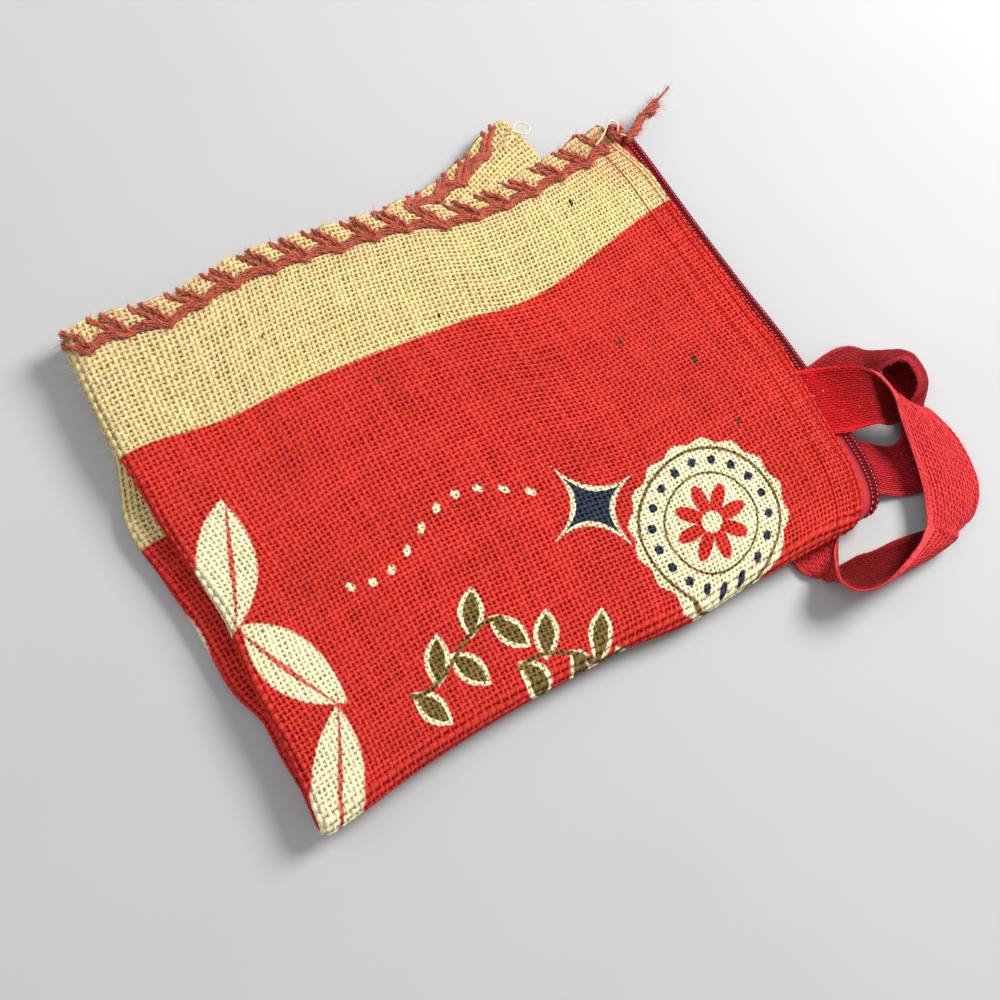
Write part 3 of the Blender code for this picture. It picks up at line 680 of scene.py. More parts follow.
def printed(finish, s, t, ground):
    """The print: a red field, and a generic design of leaves, sprigs, dots and a rosette."""
    s = s + (finish.noise(s, t, 0.9) - 0.5) * 0.9
    t = t + (finish.noise(s, t, 0.9, c=7.0) - 0.5) * 0.9
    red = edge(red_border(s) - t, 0.8) * edge(t + 107.0, 0.8)
    cover = edge(finish.attribute("rise") * 0.3 + 0.84 - finish.noise(s, t, 1.3, c=3.0), 0.2)
    wear_and_painted_highlight = finish.noise(s, t, 0.045, 3.0, 11.0)
    ink = finish.mix(edge(wear_and_painted_highlight - 0.5, 0.35) * 0.6, RED_INK, RED_DARK)
    colour = finish.mix(red * cover, ground, ink)

    # Large pale leaves beside the height fold.
    big, veins = [], []
    for cs, ct, degrees, length, width in LEAVES:
        big.append(leaf(s, t, cs, ct, degrees, length, width))
        a, b = turned(s, t, VEIN_S, ct, degrees)
        veins.append(edge(1.0 - abs(b) - abs(a) * 0.035, 0.5))
    cream = either(*big) * (1.0 - either(*veins) * 0.9)
    # A waving row of dots.
    row = t - 66.0 - sine(s * 0.085) * 7.0
    bead = hypot((fract(s * 0.125) - 0.5) * 8.0, row)
    beads = edge(1.55 - bead, 0.5) * edge(s - 40.0, 1.0) * edge(122.0 - s, 1.0)
    # The rosette's ground.
    ds, dt = s - ROSETTE[0], t - ROSETTE[1]
    far, angle = hypot(ds, dt), Field.of("ARCTAN2", dt, ds)
    medal = edge(31.0 + Field.of("COSINE", angle * 16.0) * 0.9 - far, 0.7)
    pale = finish.mix(edge(finish.noise(s, t, 1.6, c=5.0) - 0.42, 0.3) * 0.7, CREAM_INK, NATURAL_PALE)
    colour = finish.mix(either(cream, beads, medal) * red, colour, pale)

    # Gold-brown: two rings of the rosette, and two leafy sprigs near the centre fold, with pale rims.
    gold = [edge(0.65 - abs(far - 28.0), 0.5), edge(0.5 - abs(far - 18.5), 0.5)]
    leaflets, rims = [], []
    for cs, ct, lean in SPRIGS:
        stem = t - ct - sine((s - cs) * 0.11) * 5.0 * lean
        gold.append(edge(0.8 - abs(stem), 0.5) * edge(21.0 - abs(s - cs), 0.8))
        for k in range(5):
            off = -18.0 + 9.0 * k
            up = 1.0 if k % 2 else -1.0
            at = ct + math.sin(off * 0.11) * 5.0 * lean + 6.0 * up
            for found, length, width in ((leaflets, 7.2, 2.9), (rims, 8.8, 4.6)):
                found.append(leaf(s, t, cs + off + 2.5, at, 62.0 * up, length, width))
    colour = finish.mix(either(*rims) * red, colour, pale)
    streak = edge(finish.noise(s, t, 0.7, c=9.0) - 0.47, 0.1) * 0.35
    brown = finish.mix(streak, GOLD_INK, (0.30, 0.18, 0.04))
    colour = finish.mix(either(*gold, *leaflets) * red, colour, brown)

    # The rosette's flower, in the field's red, with a pale eye.
    petal = abs(Field.of("COSINE", angle * 4.0))
    colour = finish.mix(edge(6.0 + petal * 9.0 - far, 0.7) * edge(far - 4.0, 0.7), colour, RED_INK)
    # A four-pointed navy star with a pale rim, and the rosette's ring of 18 navy dots.
    a, b = turned(s, t, *STAR)
    star = Field.of("SQRT", abs(a)) + Field.of("SQRT", abs(b))
    colour = finish.mix(edge(4.7 - star, 0.12) * red, colour, pale)
    turn = fract(angle * (9.0 / PI) + 0.5)
    dots = edge(1.75 - hypot((turn - 0.5) * (2 * PI * 23.3 / 18.0), far - 23.3), 0.5)
    return finish.mix(either(dots, edge(4.1 - star, 0.12)), colour, NAVY_INK)


def marks(finish, s, t, colour):
    """Dark flecks of bark in the yarn, and a faint pink bleed at the corner."""
    for cs, ct, length in FLECKS:
        fleck = leaf(s, t, cs, ct, 70.0, length, length * 0.45, 0.3)
        colour = finish.mix(fleck, colour, (0.03, 0.02, 0.015))
    bleed = edge(16.0 - hypot(s - 226.0, t - 175.0), 14.0) * 0.4
    by_seam = edge(t - T_END + 15.0, 12.0) * edge(finish.noise(s, t, 0.07, 3.0, 13.0) - 0.5, 0.3)
    return finish.mix(either(bleed, by_seam * 0.22), colour, (0.72, 0.30, 0.17))


def natural(finish, s, t):
    """Unprinted jute: straw, with paler and darker lengths of yarn."""
    shade = finish.attribute("shade")
    lengths = finish.noise(s * 0.16, t * 1.1, c=1.0) * 0.5 + finish.noise(s * 1.1, t * 0.16, c=2.0) * 0.5
    colour = finish.mix(edge(lengths - 0.56 + shade * 0.08, 0.3) * 0.75, NATURAL, NATURAL_DARK)
    pale = edge(finish.noise(s, t, 0.7, 3.0, 4.0) - 0.5 - shade * 0.1, 0.3) * 0.6
    return finish.mix(pale, colour, NATURAL_PALE)


def jute(name, print_on, woven):
    """Burlap. woven is True for the modelled yarns and False for the sheet, whose weave is a relief with
    painted shade in its holes.
    """
    finish = Finish(name, 0.94, gloss=0.04 if woven else 0.02)
    s, t = finish.cloth()
    rise = finish.attribute("rise")
    ground = natural(finish, s, t)
    colour = marks(finish, s, t, printed(finish, s, t, ground) if print_on else ground)
    fibre = finish.grain(2600.0)
    if woven:
        # Painted highlight: the tops of the yarns are made paler.
        wear_and_painted_highlight = edge(rise * 0.5 + fibre - 0.72, 0.3)
        colour = finish.mix(wear_and_painted_highlight * 0.8, colour, (0.03, 0.044, 0.036), "ADD")
        # Painted shade: a yarn is darker where rise is low, on its flanks and where it dips under; shade
        # varies the tone from yarn to yarn at random.
        shade = 0.86 + finish.attribute("shade") * 0.28
        return finish.done(
            colour, finish.bump(fibre, 0.00022), (0.77 + rise * 0.23) * shade * (0.62 + fibre * 0.76)
        )
    # The sheet's weave: a bump, and painted shade that darkens the low parts and holes of the weave.
    u, v = s * (1.0 / WEAVE) + 0.5, t * (1.0 / WEAVE) + 0.5
    pu, pv = sine(fract(u) * PI), sine(fract(v) * PI)
    odd = Field.of("ROUND", fract((Field.of("FLOOR", u) + Field.of("FLOOR", v)) * 0.5) * 2.0)
    over = odd * pu * (0.5 + pv * 0.5) + (1.0 - odd) * pv * (0.5 + pu * 0.5)
    # Under the modelled yarns, where rise is 0, the sheet is painted darker and warmer as shade.
    painted_shade_colour = finish.mix(1.0, colour, (1.0, 0.70, 0.22), "MULTIPLY")
    weave_painted_shade = 0.3 + edge(over - 0.42, 0.5) * 0.7
    factor = (0.46 + rise * (weave_painted_shade - 0.46)) * (0.8 + fibre * 0.4)
    return finish.done(finish.mix(rise, painted_shade_colour, colour), finish.bump(over + fibre * 0.25, 0.0005), factor)


def yarn_finish(name, colour, dark, pale, sheen=0.5):
    """Loosely spun yarn or thread, with fibres lighter and darker than its body."""
    finish = Finish(name, 0.9, sheen=sheen, sheen_tint=pale)
    patch, fibre = finish.grain(260.0, 3.0), finish.grain(2300.0, 3.0)
    body = finish.mix(edge(patch + finish.attribute("shade") * 0.5 - 0.72, 0.4), dark, colour)
    body = finish.mix(edge(fibre - 0.53, 0.2) * 0.75, body, pale)
    return finish.done(body, finish.bump(fibre, 0.0003), 0.75 + fibre * 0.5)


def hem_thread_finish():
    """Thread of the mouth's hem, which the print has coloured along the red field."""
    finish = Finish("sewing_thread", 0.9, gloss=0.1)
    s, t = finish.cloth()
    fibre = finish.grain(2300.0, 3.0)
    colour = finish.mix(edge(red_border(s) - t, 1.0), (0.40, 0.105, 0.040), (0.52, 0.016, 0.010))
    return finish.done(colour, finish.bump(fibre, 0.0003), 0.7 + fibre * 0.6)


def webbing_finish(name, column, row, contrast, body, dark, light, depth=(0.10, 0.001, 0.005), painted_light_and_shade=()):
    """Cotton webbing with staggered hollows, as long as row, in columns, with painted shade in the hollows.
    shade is 1 on the selvages, which get a painted highlight. painted_light_and_shade are stretches of its
    length painted lighter or darker
    as light and shade: start, end, amount."""
    finish = Finish(name, 0.94, sheen=0.06, sheen_tint=(1.0, 0.2, 0.2), gloss=0.12)
    across, length = finish.cloth()
    rise, rim = finish.attribute("rise"), finish.attribute("shade")
    fibre = finish.grain(1700.0, 3.0)
    strand = finish.noise(across * 1.9, length * 0.5, detail=3.0, c=4.0)
    bent = finish.noise(across * 0.35, length * 0.35, c=8.0) - 0.5
    place_in = across * (1.0 / column) + bent * 1.3
    hop = fract(Field.of("FLOOR", place_in) * 0.5)
    place_along = length * (1.0 / row) + hop + bent * 1.1 + place_in * 0.12
    u = (fract(place_in) - 0.5) * 3.3
    v = (fract(place_along) - 0.5) * 2.5
    hollow = edge(1.0 - hypot(u, v) + (strand - 0.5) * 1.8, 0.6) * (1.0 - rim * 0.75)
    broad = finish.noise(across, length, 0.1, c=6.0)
    colour = finish.mix(edge(broad - 0.5, 0.4) * 0.4, body, dark)
    # Lighter strands at random, and a painted highlight along the selvages.
    colour = finish.mix(edge(strand - 0.55, 0.2) * 0.4 + rim * 0.3, colour, light)
    # Painted shade: the hollows of the weave are coloured darker.
    colour = finish.mix(hollow * contrast, colour, depth)
    lint = edge(finish.grain(420.0) - 0.74, 0.03)
    colour = finish.mix(lint * 0.6, colour, (0.85, 0.38, 0.34))
    # Painted shade: the low parts of the webbing's ridges are darker.
    tone = (0.62 + fibre * 0.5) * (0.85 + rise * 0.3)
    # Painted light and shade: stretches of the length made lighter or darker to stand in for how light falls
    # on the handle.
    for start, end, amount in painted_light_and_shade:
        tone = tone * (1.0 + edge(length - start, 13.0) * edge(end - length, 13.0) * amount)
    return finish.done(colour, finish.bump(strand * 0.6 + fibre * 0.4 - hollow * 1.2, 0.0008, 1.0), tone)


def tape_finish():
    finish = Finish("zip_tape", 0.75, sheen=0.3, sheen_tint=(1.0, 0.4, 0.4))
    s, t = finish.cloth()
    twill = sine(s * 9.0 + t * 6.0) * 0.5 + 0.5
    fibre = finish.grain(1800.0)
    colour = finish.mix(twill * 0.6, (0.33, 0.010, 0.016), (0.60, 0.024, 0.03))
    return finish.done(colour, finish.bump(twill, 0.0002, 0.6), 0.8 + fibre * 0.4)


def coil_finish():
    finish = Finish("zip_coil", 0.6, gloss=0.06)
    patch = finish.grain(900.0)
    colour = finish.mix(patch, (0.09, 0.0006, 0.003), (0.19, 0.0015, 0.007))
    return finish.done(colour, finish.bump(patch, 0.00008, 0.5))


# ---- The bag's cloth ----

front_print = jute("burlap_front", True, False)
back_plain = jute("burlap_back", False, False)
yarn_print = jute("burlap_yarn_front", True, True)
yarn_plain = jute("burlap_yarn_back", False, True)

# Patches of cloth that are modelled yarn by yarn: side, range of s, range of t.
TOP_PATCH = (1, (-13.0, UPPER_LENGTH - 0.4), (-13.0, T_END + 3.4))
FOLD_PATCH = (1, (-11.0, 13.0), (-T_END + 4.0, -15.0))
CORNER_PATCH = (-1, (-LOWER_LENGTH - 2.6, -96.0), (T_END - 48.0, T_END + 2.6))
PATCHES = (TOP_PATCH, FOLD_PATCH, CORNER_PATCH)


def in_patch(patch, side, s, t):
    """1 well inside a patch of modelled yarns, 0 outside."""
    own, (s0, s1), (t0, t1) = patch
    if own != side:
        return np.zeros(np.broadcast(s, t).shape)
    share = smooth(s, s0 + 0.5, s0 + 3.0) * (1.0 - smooth(s, s1 - 1.5, s1 - 0.2))
    return share * smooth(t, t0 + 0.5, t0 + 3.0) * (1.0 - smooth(t, t1 + 6.0, t1 + 7.0))


def even(stops):
    """Places from (end, step) pairs: even steps up to each end."""
    places = [stops[0][0]]
    for (start, _), (end, step) in zip(stops, stops[1:]):
        count = max(1, round((end - start) / step))
        places += list(np.linspace(start, end, count + 1)[1:])
    return np.array(places)


def burlap_sheet():
    """The whole cloth as one closed pocket of thin sheet, with an outer and an inner skin."""
    fold, centre = PI * HEIGHT_RADIUS / 2, PI * CENTRE_RADIUS / 2
    s_places = even((
        (-LOWER_LENGTH, 0), (-fold, 3.5), (fold, 0.8), (UPPER_LENGTH - 36, 3.5), (UPPER_LENGTH, 2.0),
    ))
    t_places = even((
        (-T_END, 0), (-T_END + 14, 1.8), (-centre, 3.7), (centre, 1.1), (T_END - 14, 3.7), (T_END, 1.8),
    ))
    s, t = np.meshgrid(s_places, t_places, indexing="ij")
    index = np.arange(s.size).reshape(s.shape)
    # The rim goes down one seam, along the bag's bottom and up the other seam.
    rim = np.concatenate([index[:0:-1, 0], index[0], index[1:, -1]])
    rim_s, rim_t = s.ravel()[rim], t.ravel()[rim]
    out_s = np.where(rim_s == -LOWER_LENGTH, -1.0, 0.0)
    out_t = np.where(np.abs(rim_t) == T_END, np.sign(rim_t), 0.0)
    turns = 6
    far = PI * PLY_LEVEL * np.arange(1, turns)[:, None] / turns
    rim_share = np.maximum(in_patch(TOP_PATCH, 1, rim_s, rim_t), in_patch(CORNER_PATCH, -1, rim_s, rim_t))
    strip_cloth = np.broadcast_to(np.stack([rim_s, rim_t], axis=-1), (turns - 1, len(rim), 2))

    points, faces, rises, rings = [], [], [], []
    for outer in (True, False):
        first = sum(len(block) for block in points)
        tones = []
        # The front, the back, and the strip between them that turns round the rim.
        for part, side in enumerate((1, -1, 1)):
            if part == 2:
                share, at = rim_share * outer + 0.0 * far, (rim_s + out_s * far, rim_t + out_t * far)
            else:
                share = np.clip(sum(in_patch(patch, side, s, t) for patch in PATCHES), 0.0, 1.0)
                at = (s, t)
            height = CLOTH / 2 - (CLOTH / 2 - UNDER_LEVEL) * share if outer else -CLOTH / 2
            points.append(skin(side, *at, height).reshape(-1, 3))
            tones.append(share.ravel())
        # rise is 0 under the modelled yarns and lower on the inner skin, which the finish paints darker and
        # warmer as shade inside the bag.
        rise = 1.0 - np.concatenate(tones)
        rises.append(rise if outer else rise * 0.3)
        front, back = first + index, first + index + index.size
        strip = first + 2 * index.size + np.arange(strip_cloth[..., 0].size).reshape(turns - 1, -1)
        whole = np.vstack([front.ravel()[rim], strip, back.ravel()[rim]])
        flip = 1 if outer else -1
        faces += [grid_faces(front)[:, ::flip], grid_faces(back)[:, ::-flip], grid_faces(whole)[:, ::flip]]
        rings.append(np.concatenate([front[-1], whole[1:-1, -1], back[-1, ::-1], whole[-2:0:-1, 0]]))
    faces.append(ring_faces(np.stack(rings)))
    sheet_cloth = np.stack([s, t], axis=-1).reshape(-1, 2)
    cloth = np.concatenate([sheet_cloth, sheet_cloth, strip_cloth.reshape(-1, 2)] * 2) * MM
    shape = Shape()
    shape.add(np.concatenate(points), faces, cloth, rise=np.concatenate(rises), slots=(0, 1, 1, 0, 1, 1, 0))
    return shape.build("burlap_cloth", front_print, back_plain)


cloth = burlap_sheet()
yarns = weave("burlap_top", *TOP_PATCH, 11, yarn_print)
yarns += weave("burlap_fold", *FOLD_PATCH, 12, yarn_print)
yarns += weave("burlap_corner", *CORNER_PATCH, 13, yarn_plain)


# ---- Threads ----

thread_red = yarn_finish("overcast_yarn", (0.36, 0.048, 0.028), (0.17, 0.018, 0.014), (0.62, 0.19, 0.12))
thread_cream = yarn_finish("cream_thread", (0.72, 0.62, 0.36), (0.55, 0.42, 0.20), (0.86, 0.80, 0.60), 0.2)
sewing_red = hem_thread_finish()


def spline(points, steps=6):
    """A smooth curve through rows of control values, with even substeps."""
    points = np.asarray(points, float)
    knots = np.concatenate([2 * points[:1] - points[1:2], points, 2 * points[-1:] - points[-2:-1]])
    rows = []
    for a, b, c, d in zip(knots, knots[1:], knots[2:], knots[3:]):
        for u in np.arange(steps) / steps:
            curve = (2 * a - 5 * b + 4 * c - d) * u**2 / 2 + (3 * b - a - 3 * c + d) * u**3 / 2
            rows.append(b + (c - a) * u / 2 + curve)
    rows.append(points[-1])
    return np.array(rows)


def drawn(points):
    """A smooth curve through points of the drawing, in metres."""
    return (spline(points) + STEP) * MM


def run_along(path):
    """The distance along a path, at each of its points."""
    return np.concatenate([[0.0], np.cumsum(np.linalg.norm(np.diff(path, axis=0), axis=1))])


def resample(path, step):
    """Points at an even distance along a path, about step apart."""
    run = run_along(path)
    at = np.linspace(0.0, run[-1], max(4, int(run[-1] / step) + 1))
    return np.stack([np.interp(at, run, path[:, k]) for k in range(3)], axis=1)


def twist(path, strands, offset, lay, phase):
    """Strands that wind round a path."""
    one, two = frames(path[None])
    angles = [phase + 2 * PI * (run_along(path) / lay + k / strands) for k in range(strands)]
    return [path + offset * (np.cos(a)[:, None] * one[0] + np.sin(a)[:, None] * two[0]) for a in angles]


def fuzz(shape, anchors, count, reach, thick, bias=(0.0, 0.0, 0.2), slot=0):
    """Short curved hairs that start on random anchor points."""
    rng = shape.rng
    start = anchors[rng.integers(0, len(anchors), count)]
    heading = unit(rng.normal(size=(count, 3)) + np.array(bias))
    bow = unit(rng.normal(size=(count, 3)))
    length = reach * rng.uniform(0.35, 1.0, (count, 1))
    u = np.linspace(0.0, 1.0, 4)[None, :, None]
    paths = start[:, None] + length[:, None] * (heading[:, None] * u + bow[:, None] * 0.45 * u * u)
    paths[..., 2] = np.maximum(paths[..., 2], 0.0002)
    radius = thick * np.array([1.0, 0.9, 0.7, 0.3])
    tubes(shape, paths, radius, 3, shade=rng.uniform(0.2, 1.0, count), slot=slot)


def strand_bundle(shape, path, thick, strands=3):
    """A soft, loosely plied yarn along a path of points, in metres."""
    rng, path = shape.rng, resample(path, 0.0012)
    run = np.arange(len(path))
    for one in twist(path, strands, thick * 0.55, 0.011, rng.uniform(0, 6)):
        loose = 0.14 * thick * np.sin(run[:, None] * rng.uniform(0.5, 1.1, 3) + rng.uniform(0, 6, 3))
        radius = thick * 0.56 * (1.0 + 0.14 * np.sin(run * 1.7 + rng.uniform(0, 6)))
        tubes(shape, (one + loose)[None], radius[None], 6, shade=rng.uniform(0.1, 0.9))
    return path


def overcast(name, side, way, s_range, seed, full, bulk=1.0, inset=SEAM_WIDTH):
    """Overcasting along one seam: a chain inside the edge and pairs of slanting bars round it.
    side is the cloth that shows, way the sign of t, inset the chain's distance from the edge."""
    shape = Shape(seed)
    rng = shape.rng
    anchors = []
    strands = 3 if full else 2

    def stitch(thick, strands, *rows):
        """A yarn through rows of s, distance inside the edge, and height. A distance below 0 lies round
        the edge and then on the other face."""
        s, inside, h = spline(rows, 5).T
        anchors.append(strand_bundle(shape, skin(side, s, way * (T_END - inside), h), thick, strands))

    first = math.ceil((s_range[0] - STITCH_START) / STITCH_PITCH)
    last = math.floor((s_range[1] - STITCH_START) / STITCH_PITCH)
    wrap = PI * PLY_LEVEL
    base = None
    for k in range(first, last + 1):
        s = STITCH_START + STITCH_PITCH * k + rng.uniform(-0.6, 0.6)
        lean = STITCH_LEAN + rng.uniform(-0.8, 0.8)
        depth = inset + rng.uniform(-0.7, 0.7)
        for shift in (0.0, 4.3 + rng.uniform(-0.5, 0.5)):
            stitch(
                BAR_THICK * bulk ** 0.6, strands,
                (s + shift * 0.75, depth + 1.0 - shift * 0.1, 0.85),
                (s - lean * 0.30 + shift * 0.85, depth * 0.72, 1.0),
                (s - lean * 0.64 + shift * 0.95, depth * 0.36, 0.9),
                (s - lean * 0.92 + shift, 0.9, 0.75),
                (s - lean + shift, -wrap * 0.5, 0.4),
                (s - lean + shift, -wrap - 1.5, 0.5),
                (s - lean * 0.8 + shift, -wrap - 5.0, 0.7),
            )
        if full:  # a thin loose end over the bars
            stitch(
                LOOSE_THICK, 2,
                (s + 1.5, depth - 0.3, 1.3), (s - lean * 0.2 + 0.4, depth * 0.66, 1.5),
                (s - lean * 0.35 + 3.4, depth * 0.42, 1.35), (s - lean * 0.8 + 1.0, depth * 0.2, 1.2),
            )
        for drop in (-0.8, 0.1, 0.9) if base is not None else ():
            stitch(
                CHAIN_THICK * bulk, strands,
                (base[0] - 1.8, base[1] - 0.6 + drop, 0.95),
                (base[0] + 1.6, base[1] + 1.5 + drop * 0.4, 1.1),
                (base[0] + 4.2, base[1] - 0.1 + drop, 1.0),
                ((base[0] + s) / 2 + 1.0, (base[1] + depth) / 2 - 0.8 + drop * 1.2, 0.95),
                (s - 2.4, depth - 0.5 + drop * 0.9, 1.1),
                (s + 1.0, depth + 1.3 + drop * 0.5, 1.15),
            )
        base = (s, depth)
    anchors = np.concatenate(anchors)
    fuzz(shape, anchors, int(len(anchors) * (HAIRS if full else FEW_HAIRS)), 0.0036, 0.000075)
    return shape.build(name, thread_red)


BAR_THICK, CHAIN_THICK, LOOSE_THICK = 0.00095, 0.00075, 0.00036  # yarns of the overcasting, in metres
HAIRS, FEW_HAIRS = 2.2, 0.1  # for each point of a yarn, on seams that show and on hidden ones
stitches = [
    overcast("overcast_upper", 1, 1, (2.0, 229.0), 21, True),
    overcast("overcast_corner", -1, 1, (-LOWER_LENGTH + 9.0, -100.0), 22, True, 1.3, 4.8),
    overcast("overcast_inner", -1, -1, (-LOWER_LENGTH + 4.0, -6.0), 23, False),
    overcast("overcast_under", 1, -1, (6.0, 229.0), 24, False),
]


HEM_PITCH = 3.1
HEM_ROWS = ((2.9, T_END - 7.0), (11.6, T_END - 9.0))  # distance from the mouth, t where the row ends


def hem_stitches():
    """Rows of lockstitch along the mouth."""
    shape = Shape(31)
    for back, stop in HEM_ROWS:
        at = np.arange(-24.0, stop, HEM_PITCH)
        u = np.linspace(0.0, 1.0, 7)
        t = at[:, None] + u * HEM_PITCH * 0.98
        s = UPPER_LENGTH - back + shape.rng.uniform(-0.12, 0.12, (len(at), 1)) + 0.0 * u
        s = s + 0.5 * np.sin(at / 21.0)[:, None]
        h = 0.58 + 0.18 * np.sin(u * PI) ** 0.6 - 0.15 * (u < 0.01) - 0.15 * (u > 0.99)
        tubes(shape, skin(1, s, t, h), 0.0002, 5, cloth=cloth_map(s, t))
    return shape.build("hem_stitches", sewing_red)


hem = hem_stitches()


def loose_threads():
    """The off-white thread: a small loop at the bag's corner and a tangle at the top of the zip."""
    shape = Shape()
    loop = (
        (65, 104.9, 11.9), (67.6, 105.8, 11.8), (71.2, 109, 11.2), (73.4, 112.1, 10.6), (77, 113.4, 10.2),
        (79.8, 111.2, 10), (79.2, 108.6, 10), (76.2, 107.9, 10.4), (72.6, 109.3, 11.9), (70.4, 111, 11),
    )
    tangle = (
        (98.0, 90.0, 16.2), (103.5, 93.0, 16.8), (108.5, 97.2, 17.2), (111.4, 95.0, 17.0),
        (109.6, 91.6, 16.6), (112.4, 89.6, 16.0),
    )
    for points, radius in ((loop, 0.00032), (tangle, 0.00034)):
        tubes(shape, resample(drawn(points), 0.0007)[None], radius, 6)
    return shape.build("loose_thread", thread_cream)


thread = loose_threads()


# ---- Zip ----

COIL_PITCH = 1.45
COIL_ROW = 1.3  # from the coil's middle to a row of its stitching


def mouth_places(step):
    end = T_END - ZIP_END_GAP
    return np.linspace(-end, end, int(2 * end / step) + 1)


def coil_middle(t):
    return UPPER_LENGTH + along(COIL_OUT, t) + along(COIL_OFFSET, t)


def ribbon(shape, s, t, upper, lower):
    """A closed sheet in the mouth between two levels."""
    t = np.broadcast_to(t, s.shape)
    slab(shape, place(s, t, upper), place(s, t, lower), cloth_map(s, t))


def zip_tape(name, level, finish):
    across = mouth_places(1.5)
    end = coil_middle(across) - UPPER_LENGTH - COIL_HALF_WIDTH
    start = np.minimum(end, 0.0) - TAPE_UNDER_HEM
    share = np.linspace(0.0, 1.0, 7)[:, None]
    s = UPPER_LENGTH + start * (1 - share) + (end + 0.6) * share
    shape = Shape()
    ribbon(shape, s, across, level + TAPE / 2, level - TAPE / 2)
    return shape.build(name, finish)


def zip_coil(nylon, thread):
    """The closed chain: loops from both sides over a flat core, with rows of stitching along it."""
    shape = Shape(41)
    rng = shape.rng
    end = T_END - ZIP_END_GAP - 0.6
    at = np.arange(-end, end, COIL_PITCH)[:, None]
    across = mouth_places(1.5)
    share = np.linspace(-1.0, 1.0, 7)[:, None]
    core = coil_middle(across) + (COIL_HALF_WIDTH - 0.2) * share
    ribbon(shape, core, across, COIL_LEVEL + 0.12 + 0.22 * (1.0 - share**2), COIL_LEVEL - 0.62)
    # The loops, which meet in the middle.
    u = np.linspace(0.0, 1.0, 6)
    rise = 0.30 + 0.34 * np.sin(np.clip(u * 1.15, 0, 1) * PI) ** 0.5 - 0.5 * (u < 0.01) - 0.25 * (u > 0.99)
    for sign in (1, -1):
        t = at + (COIL_PITCH / 2 if sign > 0 else 0.0)
        s = coil_middle(t) + sign * (COIL_HALF_WIDTH - 0.1 - 3.5 * u)
        paths = place(s, t + 0.18 * sign * np.sin(u * PI), COIL_LEVEL + rise)
        tubes(shape, paths, 0.00036, 5, shade=rng.uniform(0.3, 0.7, len(at)))
    # A row of stitching on each side of the middle.
    for row in (-COIL_ROW, COIL_ROW):
        t = at + np.linspace(0.0, 0.45, 4) * COIL_PITCH
        paths = place(coil_middle(t) + row, t, COIL_LEVEL + np.array([0.58, 0.92, 0.92, 0.58]))
        tubes(shape, paths, 0.00023, 4, shade=rng.uniform(0.4, 0.9, len(at)), slot=1)
    return shape.build("zip_chain", nylon, thread)


tape_cloth = tape_finish()
nylon = coil_finish()
zip_thread = yarn_finish("zip_thread", (0.62, 0.13, 0.14), (0.42, 0.05, 0.06), (0.86, 0.40, 0.40), 0.0)
tape_front = zip_tape("tape_front", FRONT_TAPE_LEVEL, tape_cloth)
tape_back = zip_tape("tape_back", BACK_TAPE_LEVEL, tape_cloth)
chain = zip_coil(nylon, zip_thread)


# ---- Handles ----

WEBBING_WIDTH = 25.4
ROUNDING = 0.9  # how far in from a selvage the webbing is thinner


def hidden_end(rows):
    """Stations of a handle's end inside the mouth, in the drawing's millimetres."""
    return tuple(
        place(UPPER_LENGTH + past, (far, (far + near) / 2, near), level) / MM - STEP
        for past, far, near, level in rows
    )


def handle(name, stations, finish_upper, finish_lower, seed):
    """A length of webbing through its stations, with rounded selvages and its weave as a relief."""
    shape = Shape(seed)
    rng = shape.rng
    rows = spline(np.array(stations).reshape(-1, 9), 12).reshape(-1, 3, 3)
    first, middle, other = rows[:, 0], rows[:, 1], rows[:, 2]
    near, far = (np.linalg.norm(rim - middle, axis=1) for rim in (first, other))
    share = (near / (near + far))[:, None]
    columns = np.concatenate([[0.0, 0.012, 0.03], np.linspace(0.05, 0.95, 35), [0.97, 0.988, 1.0]])
    grid = np.stack([
        first * (q - share) * (q - 1.0) / share
        + middle * q * (q - 1.0) / (share * (share - 1.0))
        + other * q * (q - share) / (1.0 - share)
        for q in columns
    ], axis=1)
    normal = unit(np.cross(np.gradient(grid, axis=0), np.gradient(grid, axis=1)))
    inside = np.minimum(columns, 1.0 - columns) * WEBBING_WIDTH
    half = 1.0 - (1.0 - np.clip(inside / ROUNDING, 0, 1)) ** 2
    half = WEBBING / 2 * np.sqrt(np.clip(half, 0.06, 1.0)) + 0.30 * np.exp(-(((inside - 1.2) / 0.8) ** 2))
    run = run_along(grid[:, len(columns) // 2])
    length, across = np.meshgrid(run, columns * WEBBING_WIDTH, indexing="ij")
    sag = 0.16 * drift(rng, len(columns), run, 9.0).T
    calm = smooth(inside, 0.6, 2.2)
    ridges = [np.stack([drift(rng, 1, run, 2.6)[0] for _ in columns], axis=1) for _ in (0, 1)]
    upper = grid + normal * (half + sag + calm * (0.14 * ridges[0] - 0.1))[..., None]
    lower = grid - normal * (half - sag + calm * (0.16 * ridges[1] - 0.1))[..., None]
    faces = np.stack([upper, lower])
    faces[..., 2] = np.maximum(faces[..., 2], 0.3)
    faces = (faces + STEP) * MM
    # shade is 1 on the selvages, which the finish paints lighter as highlight, and rise follows the ridges,
    # whose low parts it paints darker as shade.
    slab(
        shape, faces[1], faces[0], cloth_map(across, length),
        rise=0.5 + 0.5 * np.stack(ridges[::-1]), shade=1.0 - calm, slots=(1, 0, 0),
    )
    # Fuzz on the selvages, and less of it on both faces.
    selvages = np.concatenate([faces[:, :, :3].reshape(-1, 3), faces[:, :, -3:].reshape(-1, 3)])
    fuzz(shape, selvages, 1500, 0.0017, 0.00005, slot=2)
    fuzz(shape, faces.reshape(-1, 3), 1300, 0.0013, 0.00005, slot=2)
    return shape.build(name, finish_upper, finish_lower, webbing_lint)


